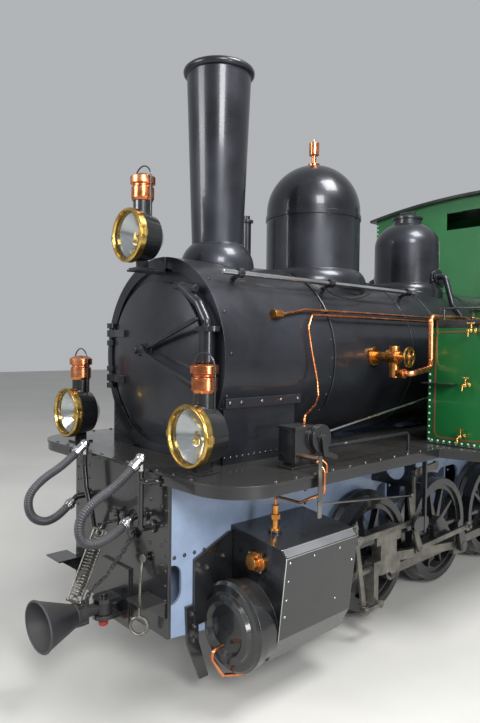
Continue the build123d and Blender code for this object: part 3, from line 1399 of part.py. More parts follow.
with BuildPart() as boiler_pipes:
    for tube, bend, points in dark_routes:
        with BuildLine() as run:
            if bend:
                FilletPolyline(*points, radius=bend)
            else:
                Line(*points)
        with BuildSketch(Plane(points[0], z_dir=run.line % 0)):
            Circle(tube)
        sweep(path=run.line)
    with BuildSketch(level(1816)):
        with Locations((2165, 462)):
            SlotOverall(140, 78, rotation=90)
    extrude(amount=24)
    for dome_x, skirt in ((sand_dome_x, sand_dome_radius),):
        with BuildSketch(level(boiler_z)):
            with Locations((dome_x, 0)):
                Circle(skirt + 0.3)
        extrude(amount=sand_dome_top_z - boiler_z, mode=Mode.SUBTRACT)
    with BuildSketch(section(-600)):
        with Locations((0, boiler_z)):
            Circle(boiler_radius + 4.3)
    extrude(amount=smokebox_rear_x + 600, mode=Mode.SUBTRACT)
boiler_pipes.part.label = "boiler_pipes"
export_step(boiler_pipes.part, "parts/boiler_pipes.step")

# Pipes on the front plate that feed the two hoses
elbows = {name: beyond(name, 0, 64) for name in hose_routes}
near, far = elbows["left"], elbows["right"]
front_routes = [
    # tube radius, points
    (14, ((frame_front_x + 0.3, near.Y, 880), (near.X, near.Y, 880), (near.X, near.Y, elbow_foot_z - 0.3))),
    (14, ((near.X, near.Y, 1110), (2440, 370, 1112), (2412, 405, 1118), (frame_front_x + 0.3, 405, 1118))),
    (14, ((frame_front_x + 0.3, -189, 745), (2402, -189, 745), (2430, -165, 845), (far.X, -205, 985),
          (far.X, far.Y, 1100), (far.X, far.Y, elbow_foot_z - 0.3))),
]
flange_spots = [(near.Y, 880), (405, 1118), (-189, 745)]
for name in hose_routes:
    meeting, behind = beyond(name, -1, 44.3), beyond(name, -1, 74)
    front_routes.append((16, ((frame_front_x + 0.3, behind.Y, behind.Z), tuple(behind), tuple(meeting))))
    flange_spots.append((behind.Y, behind.Z))
with BuildPart() as front_pipes:
    for tube, points in front_routes:
        with BuildLine() as run:
            FilletPolyline(*points, radius=20)
        with BuildSketch(Plane(points[0], z_dir=run.line % 0)):
            Circle(tube)
        sweep(path=run.line)
    for flange_y, flange_z in flange_spots:
        with BuildSketch(section(frame_front_x + 0.3)):
            with Locations((flange_y, flange_z)):
                Circle(32)
        extrude(amount=12)
front_pipes.part.label = "front_pipes"
export_step(front_pipes.part, "parts/front_pipes.step")

# Couplings at the hoses' ends, each square to the hose, and the elbows over the upper ones
with BuildPart() as hose_couplings:
    for name in hose_routes:
        for end, reach in ((0, 64), (-1, 44)):
            outward = (beyond(name, end, 1) - beyond(name, end, 0)).normalized()
            for radius, start, stop in ((27, 0, 12), (30, 12, 26), (24, 26, reach)):
                with BuildSketch(Plane(beyond(name, end, start), z_dir=outward)):
                    Circle(radius)
                extrude(amount=stop - start)
        with Locations(elbows[name]):
            Sphere(27)
        with BuildSketch(level(elbow_foot_z)):
            with Locations((elbows[name].X, elbows[name].Y)):
                Circle(20)
        extrude(amount=elbows[name].Z - elbow_foot_z)
hose_couplings.part.label = "hose_couplings"
export_step(hose_couplings.part, "parts/hose_couplings.step")

# Brake hoses, hanging free between their ends: straight runs joined by tangent arcs
for name, route in hose_routes.items():
    corner_radii = []
    for before, corner, after in zip(route, route[1:], route[2:]):
        arriving = Vector(*corner) - Vector(*before)
        leaving = Vector(*after) - Vector(*corner)
        half_turn = math.radians(arriving.get_angle(leaving)) / 2
        corner_radii.append(0.45 * min(arriving.length, leaving.length) / math.tan(half_turn))
    with BuildPart() as hose:
        with BuildLine() as run:
            FilletPolyline(*route, radius=corner_radii)
        with BuildSketch(Plane(route[0], z_dir=run.line % 0)):
            Circle(hose_radius)
        sweep(path=run.line)
    hose.part.label = f"hose_{name}"
    export_step(hose.part, f"parts/hose_{name}.step")
    print(f"hose_{name}: length {run.wire().length:.1f}, radii", [round(radius, 1) for radius in corner_radii],
          f"volume {hose.part.volume:.0f} of {math.pi * hose_radius ** 2 * run.wire().length:.0f}")

# Foot steps, guard irons, cab steps, and the step and the rail of each tank
with BuildPart() as steps_and_guards:
    for from_y, to_y, tread_z in ((286, 440, 546), (-560, -400, 528)):
        with BuildSketch(level(tread_z)):
            with Locations(((frame_front_x + 0.3 + 2500) / 2, (from_y + to_y) / 2)):
                Rectangle(2500 - frame_front_x - 0.3, to_y - from_y)
        extrude(amount=8)
    for rib_y, tread_z in ((290, 546), (424, 546), (-416, 528)):
        with BuildSketch(layer(rib_y + 10)):
            with BuildLine():
                Polyline((frame_front_x + 0.3, tread_z), (2480, tread_z), (frame_front_x + 0.3, tread_z - 80), close=True)
            make_face()
        extrude(amount=10)
    for side in sides.values():
        with BuildSketch(layer(side * (outer_frame_y + 0.3))):
            with BuildLine():
                Polyline((2205, 503), (2278, 503), (2267, 315), (2190, 125), (2135, 125), (2198, 315), close=True)
            make_face()
        extrude(amount=-side * 14)
        for tread_z in (470, 800):
            with BuildSketch(level(tread_z)):
                with Locations(((door_front_x + door_rear_x) / 2, side * (wide_half - 115))):
                    Rectangle(240, 170)
            extrude(amount=8)
        for strap_x in (door_front_x - 120, door_rear_x + 120):
            with BuildSketch(section(strap_x - 5)):
                with Locations((side * (wide_half - 200), (470 + footplate_under_z - 0.3) / 2)):
                    Rectangle(70, footplate_under_z - 0.3 - 470)
            extrude(amount=10)
        with BuildSketch(level(1528)):
            with Locations((tank_front_x + 30.3, side * 843)):
                Rectangle(60, 200)
        extrude(amount=8)
        with BuildSketch(layer(side * (tank_inner_y + 43))):
            with Locations((tank_front_x - 40, tank_top_z + 70)):
                Circle(7)
        extrude(amount=-side * 320)
        with BuildSketch(level(tank_top_z + 0.3)):
            with Locations((tank_front_x - 40, side * (tank_inner_y + 73)), (tank_front_x - 40, side * (tank_outer_y - 50))):
                Circle(8)
        extrude(amount=69.7)
steps_and_guards.part.label = "steps_and_guards"
export_step(steps_and_guards.part, "parts/steps_and_guards.step")
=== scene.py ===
# %% [markdown]
# # A small steam tank locomotive in a pale studio
# The locomotive comes in as a fixed frame of CAD solids, in metres, with +X forward, +Y to the
# engine's left and +Z up. This lesson gives every solid a finish built from shader nodes, adds the
# bolts, rivets, springs, pipes, linings and hoses that the photograph shows, and lights the engine
# on a plain floor. Each cell prints what it made, so it can be followed one step at a time.

# %% [markdown]
# ## The frame
# Loading gives the solids by name, the bodies they move with, and the record's sizes.

# %%
import bmesh
import bpy
import json
import math
from mathutils import Matrix, Quaternion, Vector


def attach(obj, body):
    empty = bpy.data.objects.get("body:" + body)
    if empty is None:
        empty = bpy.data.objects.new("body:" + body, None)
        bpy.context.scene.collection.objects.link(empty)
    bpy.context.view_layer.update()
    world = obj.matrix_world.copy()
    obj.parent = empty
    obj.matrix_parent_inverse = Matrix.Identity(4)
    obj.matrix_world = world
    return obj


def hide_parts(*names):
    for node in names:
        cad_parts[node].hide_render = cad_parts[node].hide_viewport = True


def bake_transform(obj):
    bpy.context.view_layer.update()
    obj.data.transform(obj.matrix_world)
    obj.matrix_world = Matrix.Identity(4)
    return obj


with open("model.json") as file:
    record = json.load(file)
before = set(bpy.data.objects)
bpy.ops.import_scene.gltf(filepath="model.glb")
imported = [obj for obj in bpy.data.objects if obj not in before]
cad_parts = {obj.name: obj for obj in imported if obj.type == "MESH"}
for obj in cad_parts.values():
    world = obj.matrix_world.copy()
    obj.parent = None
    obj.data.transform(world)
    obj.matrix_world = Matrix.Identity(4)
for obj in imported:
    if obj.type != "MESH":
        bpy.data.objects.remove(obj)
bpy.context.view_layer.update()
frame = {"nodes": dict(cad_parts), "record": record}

# %% [markdown]
# ## The camera
# The photograph was taken from the engine's front left corner, at chest height, looking along the
# boiler. The three rows below are the camera's right, up and forward directions, turned by a
# heading, a slight downward pitch and a small roll. A focal length of 603.8 pixels on a frame 723
# pixels tall is a lens of about 30 mm on a 36 mm sensor.

# %%
heading, pitch, roll = math.radians(47.28), math.radians(1.83), math.radians(0.686)
camera_place = (4.019, 2.702, 1.766)
focal_pixels, photo_pixels, sensor_mm = 603.8, 723, 36
level_right = Vector((-math.sin(heading), math.cos(heading), 0))
level_forward = Vector((-math.cos(heading), -math.sin(heading), 0))
forward = level_forward * math.cos(pitch) - Vector((0, 0, 1)) * math.sin(pitch)
level_up = level_forward * math.sin(pitch) + Vector((0, 0, 1)) * math.cos(pitch)
right = level_right * math.cos(roll) + level_up * math.sin(roll)
up = level_up * math.cos(roll) - level_right * math.sin(roll)
lens = bpy.data.cameras.new("camera")
lens.sensor_fit = "VERTICAL"
lens.sensor_height = sensor_mm
lens.lens = focal_pixels / photo_pixels * sensor_mm
lens.clip_end = 200
camera = bpy.data.objects.new("camera", lens)
bpy.context.scene.collection.objects.link(camera)
turn = Matrix((right, up, -forward)).transposed().to_4x4()
camera.matrix_world = Matrix.Translation(camera_place) @ turn
bpy.context.scene.camera = camera
print("camera at", tuple(round(v, 3) for v in camera.location))

# %% [markdown]
# ## Small tools
# `colour` turns an sRGB hex string into the linear values that shaders use. `add_node` makes one
# shader node with its settings and its input values or links.

# %%
def colour(text, alpha=1.0):
    parts = [int(text[i:i + 2], 16) / 255 for i in (0, 2, 4)]
    linear = [p / 12.92 if p <= 0.04045 else ((p + 0.055) / 1.055) ** 2.4 for p in parts]
    return (*linear, alpha)


def add_node(tree, kind, inputs=None, **settings):
    made = tree.nodes.new(kind)
    for key, value in settings.items():
        setattr(made, key, value)
    for key, value in (inputs or {}).items():
        if isinstance(value, bpy.types.NodeSocket):
            tree.links.new(value, made.inputs[key])
        else:
            made.inputs[key].default_value = value
    return made


# %% [markdown]
# ## Finishes
# A finish starts from two shades that a soft noise mixes, with its own roughness range, a fine bump
# and dust on faces that look up. A bevel node rounds the shading of sharp edges by a few
# millimetres, and where the rounded normal leaves the true one the paint is worn a little lighter.

# %%
dust_shade = "8C8880"
grain_depth = 0.0015


def mix_shades(tree, factor, first, second):
    """The socket of a colour that goes from first to second as the factor goes from 0 to 1."""
    return add_node(tree, "ShaderNodeMix", {0: factor, 6: first, 7: second}, data_type="RGBA").outputs[2]


def finish_material(name, dark, light, rough=(0.35, 0.55), metal=0.0, scale=3.0, bump=0.15, grain=140.0,
                    dust=0.15, wear=0.25, wear_shade="8A8680", coat=0.0, edge=0.004, stretch=(1, 1, 1)):
    made = bpy.data.materials.new(name)
    made.use_nodes = True
    tree = made.node_tree
    tree.nodes.clear()
    place = add_node(tree, "ShaderNodeTexCoord")
    mapping = add_node(tree, "ShaderNodeMapping", {"Vector": place.outputs["Object"], "Scale": stretch})
    # Two noises: a broad one that mixes the shades, a fine one for the surface's grain
    mottle = add_node(tree, "ShaderNodeTexNoise", {
        "Vector": mapping.outputs[0], "Scale": scale, "Detail": 6.0, "Roughness": 0.6})
    fine = add_node(tree, "ShaderNodeTexNoise", {"Vector": mapping.outputs[0], "Scale": grain, "Detail": 3.0})
    contrast = add_node(tree, "ShaderNodeMapRange", {
        "Value": mottle.outputs[0], "From Min": 0.35, "From Max": 0.65})
    shade = mix_shades(tree, contrast.outputs[0], colour(dark), colour(light))
    # Wear where the rounded normal leaves the true one, which is along edges
    rounded = add_node(tree, "ShaderNodeBevel", {"Radius": edge}, samples=4)
    geometry = add_node(tree, "ShaderNodeNewGeometry")
    lined_up = add_node(tree, "ShaderNodeVectorMath", {
        0: rounded.outputs[0], 1: geometry.outputs["Normal"]}, operation="DOT_PRODUCT")
    rim = add_node(tree, "ShaderNodeMapRange", {
        "Value": lined_up.outputs["Value"], "From Min": 0.995, "From Max": 0.86, "To Max": wear})
    broken = add_node(tree, "ShaderNodeMath", {0: rim.outputs[0], 1: contrast.outputs[0]}, operation="MULTIPLY")
    worn = mix_shades(tree, broken.outputs[0], shade, colour(wear_shade))
    # Dust where the face looks up
    facing = add_node(tree, "ShaderNodeSeparateXYZ", {0: geometry.outputs["Normal"]})
    upward = add_node(tree, "ShaderNodeMapRange", {
        "Value": facing.outputs["Z"], "From Min": 0.5, "From Max": 1.0, "To Max": dust})
    dusty = mix_shades(tree, upward.outputs[0], worn, colour(dust_shade))
    gloss = add_node(tree, "ShaderNodeMapRange", {
        "Value": mottle.outputs[0], "From Min": 0.3, "From Max": 0.7, "To Min": rough[0], "To Max": rough[1]})
    relief = add_node(tree, "ShaderNodeBump", {
        "Strength": bump, "Distance": grain_depth, "Height": fine.outputs[0], "Normal": rounded.outputs[0]})
    surface = add_node(tree, "ShaderNodeBsdfPrincipled", {
        "Base Color": dusty, "Roughness": gloss.outputs[0], "Metallic": metal,
        "Normal": relief.outputs[0], "Coat Weight": coat, "Coat Roughness": 0.08})
    add_node(tree, "ShaderNodeOutputMaterial", {"Surface": surface.outputs[0]})
    return made


finishes = {}
for name, dark, light, settings in (
    # Brushed enamel under polish: small, nearly sharp highlights
    ("black_paint", "0B0C0E", "16171A", dict(rough=(0.18, 0.34), coat=0.5, dust=0.1)),
    # Oiled black on sheet iron: long grey streaks of light with no clear edge
    ("boiler_black", "1D1E22", "2E3037", dict(rough=(0.24, 0.42), metal=0.55, scale=2.2, coat=0.25, dust=0.06)),
    # Half-gloss frame enamel, a little chalky
    ("blue_grey_paint", "6E7E97", "8797B0", dict(rough=(0.25, 0.42), coat=0.2)),
    # Varnished coach enamel: the deepest gloss on the engine
    ("green_paint", "0D4A22", "14592B", dict(rough=(0.12, 0.26), coat=0.7, scale=1.2, bump=0.05)),
    # Machined steel dulled by oil
    ("motion_steel", "5E5C57", "8A877F", dict(rough=(0.25, 0.45), metal=0.9, scale=8)),
    # Polished steel strip
    ("bright_steel", "B9B9BC", "DADADC", dict(rough=(0.12, 0.25), metal=1.0, dust=0.0)),
    # Drawn and polished tube
    ("copper", "B8683E", "E0966A", dict(rough=(0.16, 0.32), metal=1.0, dust=0.0, scale=14)),
    # Polished casting, yellow
    ("brass", "B08A42", "DCBC6C", dict(rough=(0.14, 0.3), metal=1.0, dust=0.0, scale=14)),
    # Casting, browner than the brass
    ("bronze", "B5793E", "D99A58", dict(rough=(0.2, 0.36), metal=1.0, dust=0.0, scale=16)),
    # Moulded hose with a dull sheen
    ("rubber", "232327", "3B3B41", dict(rough=(0.35, 0.5), edge=0.0006)),
    # Sand-cast and painted black: rough grain
    ("cast_iron", "1C1C1F", "2C2C30", dict(rough=(0.4, 0.6), bump=0.4)),
    # Painted red-brown line
    ("lining_red", "5E2A1E", "7A3A2A", dict(rough=(0.25, 0.4), coat=0.4)),
    # Rivet heads in a pale green, far lighter than the tanks' green
    ("pale_rivets", "A9BFB2", "C8D6CC", dict(rough=(0.3, 0.45), dust=0)),
    # Enamel on the coupler's pin
    ("red_paint", "8E1F14", "B0301E", dict(rough=(0.3, 0.45))),
):
    finishes[name] = finish_material(name, dark, light, **settings)
# Clear pressed glass: seen by its reflections alone
glass = bpy.data.materials.new("lamp_glass")
glass.use_nodes = True
glass.node_tree.nodes.clear()
clear = add_node(glass.node_tree, "ShaderNodeBsdfPrincipled", {
    "Base Color": colour("F2F6F6"), "Roughness": 0.03, "Transmission Weight": 1.0, "IOR": 1.45})
add_node(glass.node_tree, "ShaderNodeOutputMaterial", {"Surface": clear.outputs[0]})
finishes["lamp_glass"] = glass
# Two solids are finished otherwise than their slot in the record says
special = {"brass_fittings": "bronze", "cylinders": "black_paint"}
for part in frame["record"]["subparts"]:
    node = frame["nodes"].get(part["node"])
    if node:
        node.data.materials.clear()
        node.data.materials.append(finishes[special.get(part["node"], part["material_slot"])])
print("finishes:", len(finishes))

# %% [markdown]
# ## Shapes
# Every shape below is a list of corner points and a list of faces, in millimetres. A lathe turns a
# profile of radii and heights about an axis. A prism pushes an outline along x, y or z. A tube
# carries a ring of corners along a line. `build` joins such shapes into one piece, in metres.

# %%
MM = 0.001


def circle(count):
    """The angles of count even steps round a circle."""
    return [2 * math.pi * step / count for step in range(count)]


def lathe(profile, origin, axis=(0, 0, 1), segments=28):
    turn = Vector(axis).to_track_quat("Z", "Y")
    points, faces = [], []
    for radius, height in profile:
        for angle in circle(segments):
            corner = Vector((radius * math.cos(angle), radius * math.sin(angle), height))
            points.append(Vector(origin) + turn @ corner)
    for ring in range(len(profile) - 1):
        for step in range(segments):
            after = (step + 1) % segments
            faces.append((ring * segments + step, ring * segments + after,
                          (ring + 1) * segments + after, (ring + 1) * segments + step))
    faces.append(tuple(reversed(range(segments))))
    faces.append(tuple(range(len(points) - segments, len(points))))
    return points, faces


def prism(outline, axis, start, end):
    order = {"x": (2, 0, 1), "y": (0, 2, 1), "z": (0, 1, 2)}[axis]
    points = []
    for depth in (start, end):
        for a, b in outline:
            triple = (a, b, depth)
            points.append(Vector([triple[i] for i in order]))
    count = len(outline)
    faces = [tuple(reversed(range(count))), tuple(range(count, 2 * count))]
    faces += [(k, (k + 1) % count, count + (k + 1) % count, count + k) for k in range(count)]
    return points, faces


def block(low, high):
    (x0, y0, z0), (x1, y1, z1) = low, high
    return prism([(x0, y0), (x1, y0), (x1, y1), (x0, y1)], "z", z0, z1)


def tube(line, radius, sides=12, closed=False):
    line = [Vector(point) for point in line]
    radii = radius if isinstance(radius, list) else [radius] * len(line)
    points, faces, normal = [], [], None
    for index, at in enumerate(line):
        before = line[index - 1] if index or closed else at
        after = line[(index + 1) % len(line)] if index + 1 < len(line) or closed else at
        along = (after - before).normalized()
        normal = along.orthogonal() if normal is None else normal - along * normal.dot(along)
        normal.normalize()
        across = along.cross(normal)
        for angle in circle(sides):
            points.append(at + (normal * math.cos(angle) + across * math.sin(angle)) * radii[index])
    rings = len(line)
    for ring in range(rings if closed else rings - 1):
        other = (ring + 1) % rings
        for step in range(sides):
            after = (step + 1) % sides
            faces.append((ring * sides + step, ring * sides + after,
                          other * sides + after, other * sides + step))
    if not closed:
        faces += [tuple(reversed(range(sides))), tuple(range(len(points) - sides, len(points)))]
    return points, faces


def shade_smooth(mesh, angle=35):
    mesh.polygons.foreach_set("use_smooth", [True] * len(mesh.polygons))
    mesh.set_sharp_from_angle(angle=math.radians(angle))


def add_piece(name, mesh, finish, body="locomotive_frame"):
    piece = bpy.data.objects.new(name, mesh)
    bpy.context.scene.collection.objects.link(piece)
    mesh.materials.clear()
    mesh.materials.append(finishes[finish])
    if body:
        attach(piece, body)
    return piece


def joined_mesh(name, shapes, unit=1):
    points, faces = [], []
    for shape_points, shape_faces in shapes:
        faces += [tuple(index + len(points) for index in face) for face in shape_faces]
        points += [point * unit for point in shape_points]
    mesh = bpy.data.meshes.new(name)
    mesh.from_pydata(points, [], faces)
    return mesh


def build(name, shapes, finish, body="locomotive_frame"):
    mesh = joined_mesh(name, shapes, MM)
    work = bmesh.new()
    work.from_mesh(mesh)
    bmesh.ops.recalc_face_normals(work, faces=work.faces)
    work.to_mesh(mesh)
    work.free()
    shade_smooth(mesh)
    return add_piece(name, mesh, finish, body)


# %% [markdown]
# ## Repeated pieces with Geometry Nodes
# One node group puts a copy of a pattern object on every point, turned and sized by the point's own
# attributes, makes the copies real and gives them a finish. Its modifier is then turned into a mesh.

# %%
studs = bpy.data.node_groups.new("studs", "GeometryNodeTree")
for label, direction, kind in (("Geometry", "INPUT", "NodeSocketGeometry"),
                               ("Pattern", "INPUT", "NodeSocketObject"),
                               ("Finish", "INPUT", "NodeSocketMaterial"),
                               ("Geometry", "OUTPUT", "NodeSocketGeometry")):
    studs.interface.new_socket(label, in_out=direction, socket_type=kind)
entry = add_node(studs, "NodeGroupInput")
turned = add_node(studs, "GeometryNodeInputNamedAttribute", {"Name": "turn"}, data_type="QUATERNION")
sized = add_node(studs, "GeometryNodeInputNamedAttribute", {"Name": "size"}, data_type="FLOAT_VECTOR")
model = add_node(studs, "GeometryNodeObjectInfo", {"Object": entry.outputs["Pattern"]})
copies = add_node(studs, "GeometryNodeInstanceOnPoints", {
    "Points": entry.outputs["Geometry"], "Instance": model.outputs["Geometry"],
    "Rotation": turned.outputs[0], "Scale": sized.outputs[0]})
real = add_node(studs, "GeometryNodeRealizeInstances", {"Geometry": copies.outputs[0]})
painted = add_node(studs, "GeometryNodeSetMaterial", {
    "Geometry": real.outputs[0], "Material": entry.outputs["Finish"]})
add_node(studs, "NodeGroupOutput", {"Geometry": painted.outputs[0]})


def pattern_object(name, shapes):
    made = bpy.data.objects.new(name, joined_mesh(name, shapes))
    bpy.context.scene.collection.objects.link(made)
    return made


def row(start, end, count):
    return [Vector(start).lerp(Vector(end), step / max(count - 1, 1)) for step in range(count)]


def spread(name, spots, pattern, finish, body="locomotive_frame"):
    """Spots are (point, facing direction or quaternion, size), in millimetres."""
    mesh = bpy.data.meshes.new(name)
    mesh.from_pydata([Vector(spot[0]) * MM for spot in spots], [], [])
    # Making an attribute moves the others in memory, so both are looked up once both are there
    for label, kind in (("turn", "QUATERNION"), ("size", "FLOAT_VECTOR")):
        mesh.attributes.new(label, kind, "POINT")
    turn, size = mesh.attributes["turn"], mesh.attributes["size"]
    for index, (_, facing, scale) in enumerate(spots):
        if not isinstance(facing, Quaternion):
            facing = Vector(facing).to_track_quat("Z", "Y")
        turn.data[index].value = facing
        size.data[index].vector = (scale * MM,) * 3
    piece = add_piece(name, mesh, finish, body)
    modifier = piece.modifiers.new("studs", "NODES")
    modifier.node_group = studs
    values = {"Pattern": pattern, "Finish": finishes[finish]}
    for socket in studs.interface.items_tree:
        if socket.in_out == "INPUT" and socket.name in values:
            modifier[socket.identifier] = values[socket.name]
    view = bpy.context.evaluated_depsgraph_get()
    made = bpy.data.meshes.new_from_object(piece.evaluated_get(view),
                                           preserve_all_data_layers=True, depsgraph=view)
    piece.modifiers.clear()
    piece.data = made
    shade_smooth(made, 50)
    return piece


# Patterns are drawn at a radius of 1, so that a spot's size is the head's radius in millimetres
rivet_profile = [(1, -0.1), (1, 0.08), (0.86, 0.36), (0.5, 0.56), (0.1, 0.62)]
rivet = pattern_object("rivet_pattern", [lathe(rivet_profile, (0, 0, 0), segments=12)])
bolt_parts = (([(1.25, -0.1), (1.25, 0.15)], 14),  # washer
              ([(1, 0.15), (1, 0.75), (0.85, 0.9)], 6),  # hexagon
              ([(0.5, 0.9), (0.5, 1.25), (0.4, 1.35)], 10))  # end of the screw
bolt = pattern_object("bolt_pattern", [lathe(profile, (0, 0, 0), segments=sides) for profile, sides in bolt_parts])
print("patterns:", rivet.name, bolt.name)

# %% [markdown]
# ## Brake hoses
# Each hose hangs free from the elbow under the lamp to the coupling on the front plate. Its route is
# one open NURBS spline. The ribbed rubber is a tube that follows the points read from that spline,
# with a rib every 11 millimetres.

# %%
hose_routes = {
    "left": ((2.492, 0.318, 1.172), (2.566, 0.314, 1.104), (2.680, 0.306, 1.050), (2.758, 0.298, 0.972),
             (2.730, 0.286, 0.855), (2.605, 0.271, 0.838), (2.502, 0.260, 0.890)),
    "right": ((2.492, -0.226, 1.168), (2.562, -0.232, 1.108), (2.672, -0.245, 1.050), (2.748, -0.258, 0.965),
              (2.716, -0.275, 0.842), (2.592, -0.288, 0.800), (2.504, -0.298, 0.868)),
}


def spline_line(name, route):
    curve = bpy.data.curves.new(name, "CURVE")
    curve.dimensions = "3D"
    spline = curve.splines.new("NURBS")
    spline.points.add(len(route) - 1)
    for point, at in zip(spline.points, route):
        point.co = (*at, 1)
    spline.order_u = 3
    spline.use_endpoint_u = True
    spline.resolution_u = 32
    holder = bpy.data.objects.new(name, curve)
    bpy.context.scene.collection.objects.link(holder)
    view = bpy.context.evaluated_depsgraph_get()
    mesh = bpy.data.meshes.new_from_object(holder.evaluated_get(view))
    line = [vertex.co.copy() for vertex in mesh.vertices]
    bpy.context.scene.collection.objects.unlink(holder)
    return line


def even_points(line, step):
    spots, travelled, target = [line[0].copy()], 0.0, step
    for first, second in zip(line, line[1:]):
        run = (second - first).length
        while run and travelled + run >= target:
            spots.append(first.lerp(second, (target - travelled) / run))
            target += step
        travelled += run
    return spots, travelled


rib_pitch, rib_step = 0.011, 0.0022
hose_diameter, mean_radius, rib_height = 0.046, 21.0, 1.9
for name, route in hose_routes.items():
    line = spline_line(f"hose_line_{name}", route)
    spots, length = even_points(line, rib_step)
    radii = [mean_radius + rib_height * math.cos(2 * math.pi * index * rib_step / rib_pitch)
             for index in range(len(spots))]
    hose = build(f"brake_hose_{name}", [tube([spot / MM for spot in spots], radii, sides=20)], "rubber")
    shade_smooth(hose.data, 80)
    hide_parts(f"hose_{name}")
    print(hose.name, "length", round(length, 3), "ribs", round(length / rib_pitch))

# %% [markdown]
# ## Rivets and bolts of the front end
# Rows are read off the photograph: the tall front plate, the outer frames, the footplate's edge, the
# saddle, the smokebox rings and the cylinder covers. What is on the left is mirrored to the right.

# %%
def both_sides(spots):
    mirrored = [(Vector((p[0], -p[1], p[2])), Vector((f[0], -f[1], f[2])), s) for p, f, s in spots]
    return spots + mirrored


def row_spots(rows):
    """Spots along rows of (start, end, count, facing, size)."""
    return [(spot, Vector(facing), size) for start, end, count, facing, size in rows
            for spot in row(start, end, count)]


def ring_spots(centre, axis, radius, count, size, start=0.0, outward=False):
    turn = Vector(axis).to_track_quat("Z", "Y")
    spots = []
    for angle in circle(count):
        out = turn @ Vector((math.cos(start + angle), math.sin(start + angle), 0))
        spots.append((Vector(centre) + out * radius, out if outward else Vector(axis), size))
    return spots


ahead, back, leftward, upright = (1, 0, 0), (-1, 0, 0), (0, 1, 0), (0, 0, 1)
eighth_turn = 0.78
boiler_z, smokebox_radius = 1678, 541
saddle_reach_z = 1300
front_rows = (
    # start, end, count, facing, size
    ((2375, 300, 1080), (2375, 300, 796), 5, ahead, 10),
    ((2375, 392, 1084), (2375, 392, 712), 5, ahead, 10),
    ((2375, 425, 1048), (2375, 425, 480), 9, ahead, 8),
    ((2375, 33, 1138), (2375, 420, 1138), 6, ahead, 10),
    ((2340, 446, 752), (2041, 446, 752), 6, leftward, 10),
    ((2340, 446, 1128), (1450, 446, 1128), 15, leftward, 9),
    ((1418, 446, 1080), (1418, 446, 700), 6, leftward, 9),
    ((2140, 905, 1164), (840, 905, 1164), 11, upright, 11),
    ((2395, 640, 1164), (2395, 0, 1164), 6, upright, 10),
    ((2086, 505, 1198), (1600, 505, 1198), 13, leftward, 8),
    ((2094, 480, 1210), (2094, 480, 1440), 6, ahead, 8),
    ((1440, 800, 640), (1440, 700, 330), 4, back, 9),
    ((548, 330, 860), (548, 330, 1120), 4, ahead, 10),
    ((548, 420, 1120), (548, 730, 1120), 5, ahead, 10),
)
rivets = both_sides(row_spots(front_rows))
spread("front_rivets", rivets, rivet, "black_paint")
frame_rows = (
    ((2290, 446, 1060), (1480, 446, 1060), 12, leftward, 8),
    ((1300, 290, 1080), (1300, 290, 520), 8, leftward, 9),
    ((330, 290, 1080), (330, 290, 760), 5, leftward, 9),
    ((-500, 290, 1080), (-500, 290, 760), 5, leftward, 9),
)
spread("frame_rivets", both_sides(row_spots(frame_rows)), rivet, "blue_grey_paint")
flange_face_y = 462
flange_bolt_places = ((2244, 465), (2228, 399), (2235, 334), (2208, 693), (2153, 667), (2050, 700), (2050, 480))
bolts = [(Vector((x, flange_face_y, z)), Vector(leftward), 11) for x, z in flange_bolt_places]
bolts += ring_spots((2001, 640, 705), ahead, 54, 4, 8, start=eighth_turn)
spread("cylinder_bolts", both_sides(bolts), bolt, "black_paint")
smokebox_rivets = ring_spots((2080, 0, boiler_z), ahead, smokebox_radius, 16, 10,
                             start=math.radians(3.3), outward=True)
smokebox_rivets += ring_spots((1312, 0, boiler_z), ahead, smokebox_radius, 32, 8, outward=True)
smokebox_rivets += ring_spots((2100.5, 0, boiler_z), ahead, 508, 32, 8, start=0.1)
smokebox_rivets = [spot for spot in smokebox_rivets if spot[0].z > saddle_reach_z]
spread("smokebox_rivets", smokebox_rivets, rivet, "boiler_black")
bar_face_y = 521
saddle_bar_rivets = [(Vector((x, bar_face_y, 1466)), Vector(leftward), 11) for x in (2066, 1991, 1848, 1708, 1576)]
spread("saddle_bar_rivets", both_sides(saddle_bar_rivets), rivet, "motion_steel")
print("rivets:", len(rivets), "bolts:", 2 * len(bolts))

# %% [markdown]
# ## Plates and bars at the front
# A bar along the top of the saddle, the black plates that bolt the cylinders to the frames, the
# polished strip round the cylinder cladding, and collars on the coupler's neck.

# %%
coupler_z = 408


def side_block(x0, x1, near, far, z0, z1, side):
    """A block between two distances from the middle, on the left (1) or the right (-1)."""
    y0, y1 = sorted((side * near, side * far))
    return block((x0, y0, z0), (x1, y1, z1))


saddle_bars = [side_block(1552, 2092, 505.2, bar_face_y, 1442, 1490, side) for side in (1, -1)]
build("saddle_bars", saddle_bars, "boiler_black")
flange_outline = [(2230, 720), (2010, 812), (1988, 812), (1988, 400), (2230, 400)]
flange_plates = [prism(flange_outline, "y", 446.3, flange_face_y), prism(flange_outline, "y", -flange_face_y, -446.3)]
build("cylinder_flange_plates", flange_plates, "black_paint")
strips = []
for side in (1, -1):
    band = [(side * 802.8, 801.4), (side * 832.8, 767.4), (side * 831.6, 766), (side * 801.6, 800)]
    strips.append(prism(band, "x", 1450, 1978))
    for y, z in ((802.4, 800.6), (832.6, 766)):
        strips.append(tube([(1441, side * y, z), (1985.5, side * y, z)], 3.2, sides=8))
    strips.append(tube([(1984, side * 832.6, 766), (1984, side * 784.8, 364)], 2.6, sides=8))
build("cladding_strips", strips, "bright_steel")
cladding_screws = []
screw_places = ((1955, 741), (1955, 652), (1955, 559), (1955, 474),
                (1782, 738), (1584, 730), (1576, 462), (1470, 640))
cladding_lean = 0.119
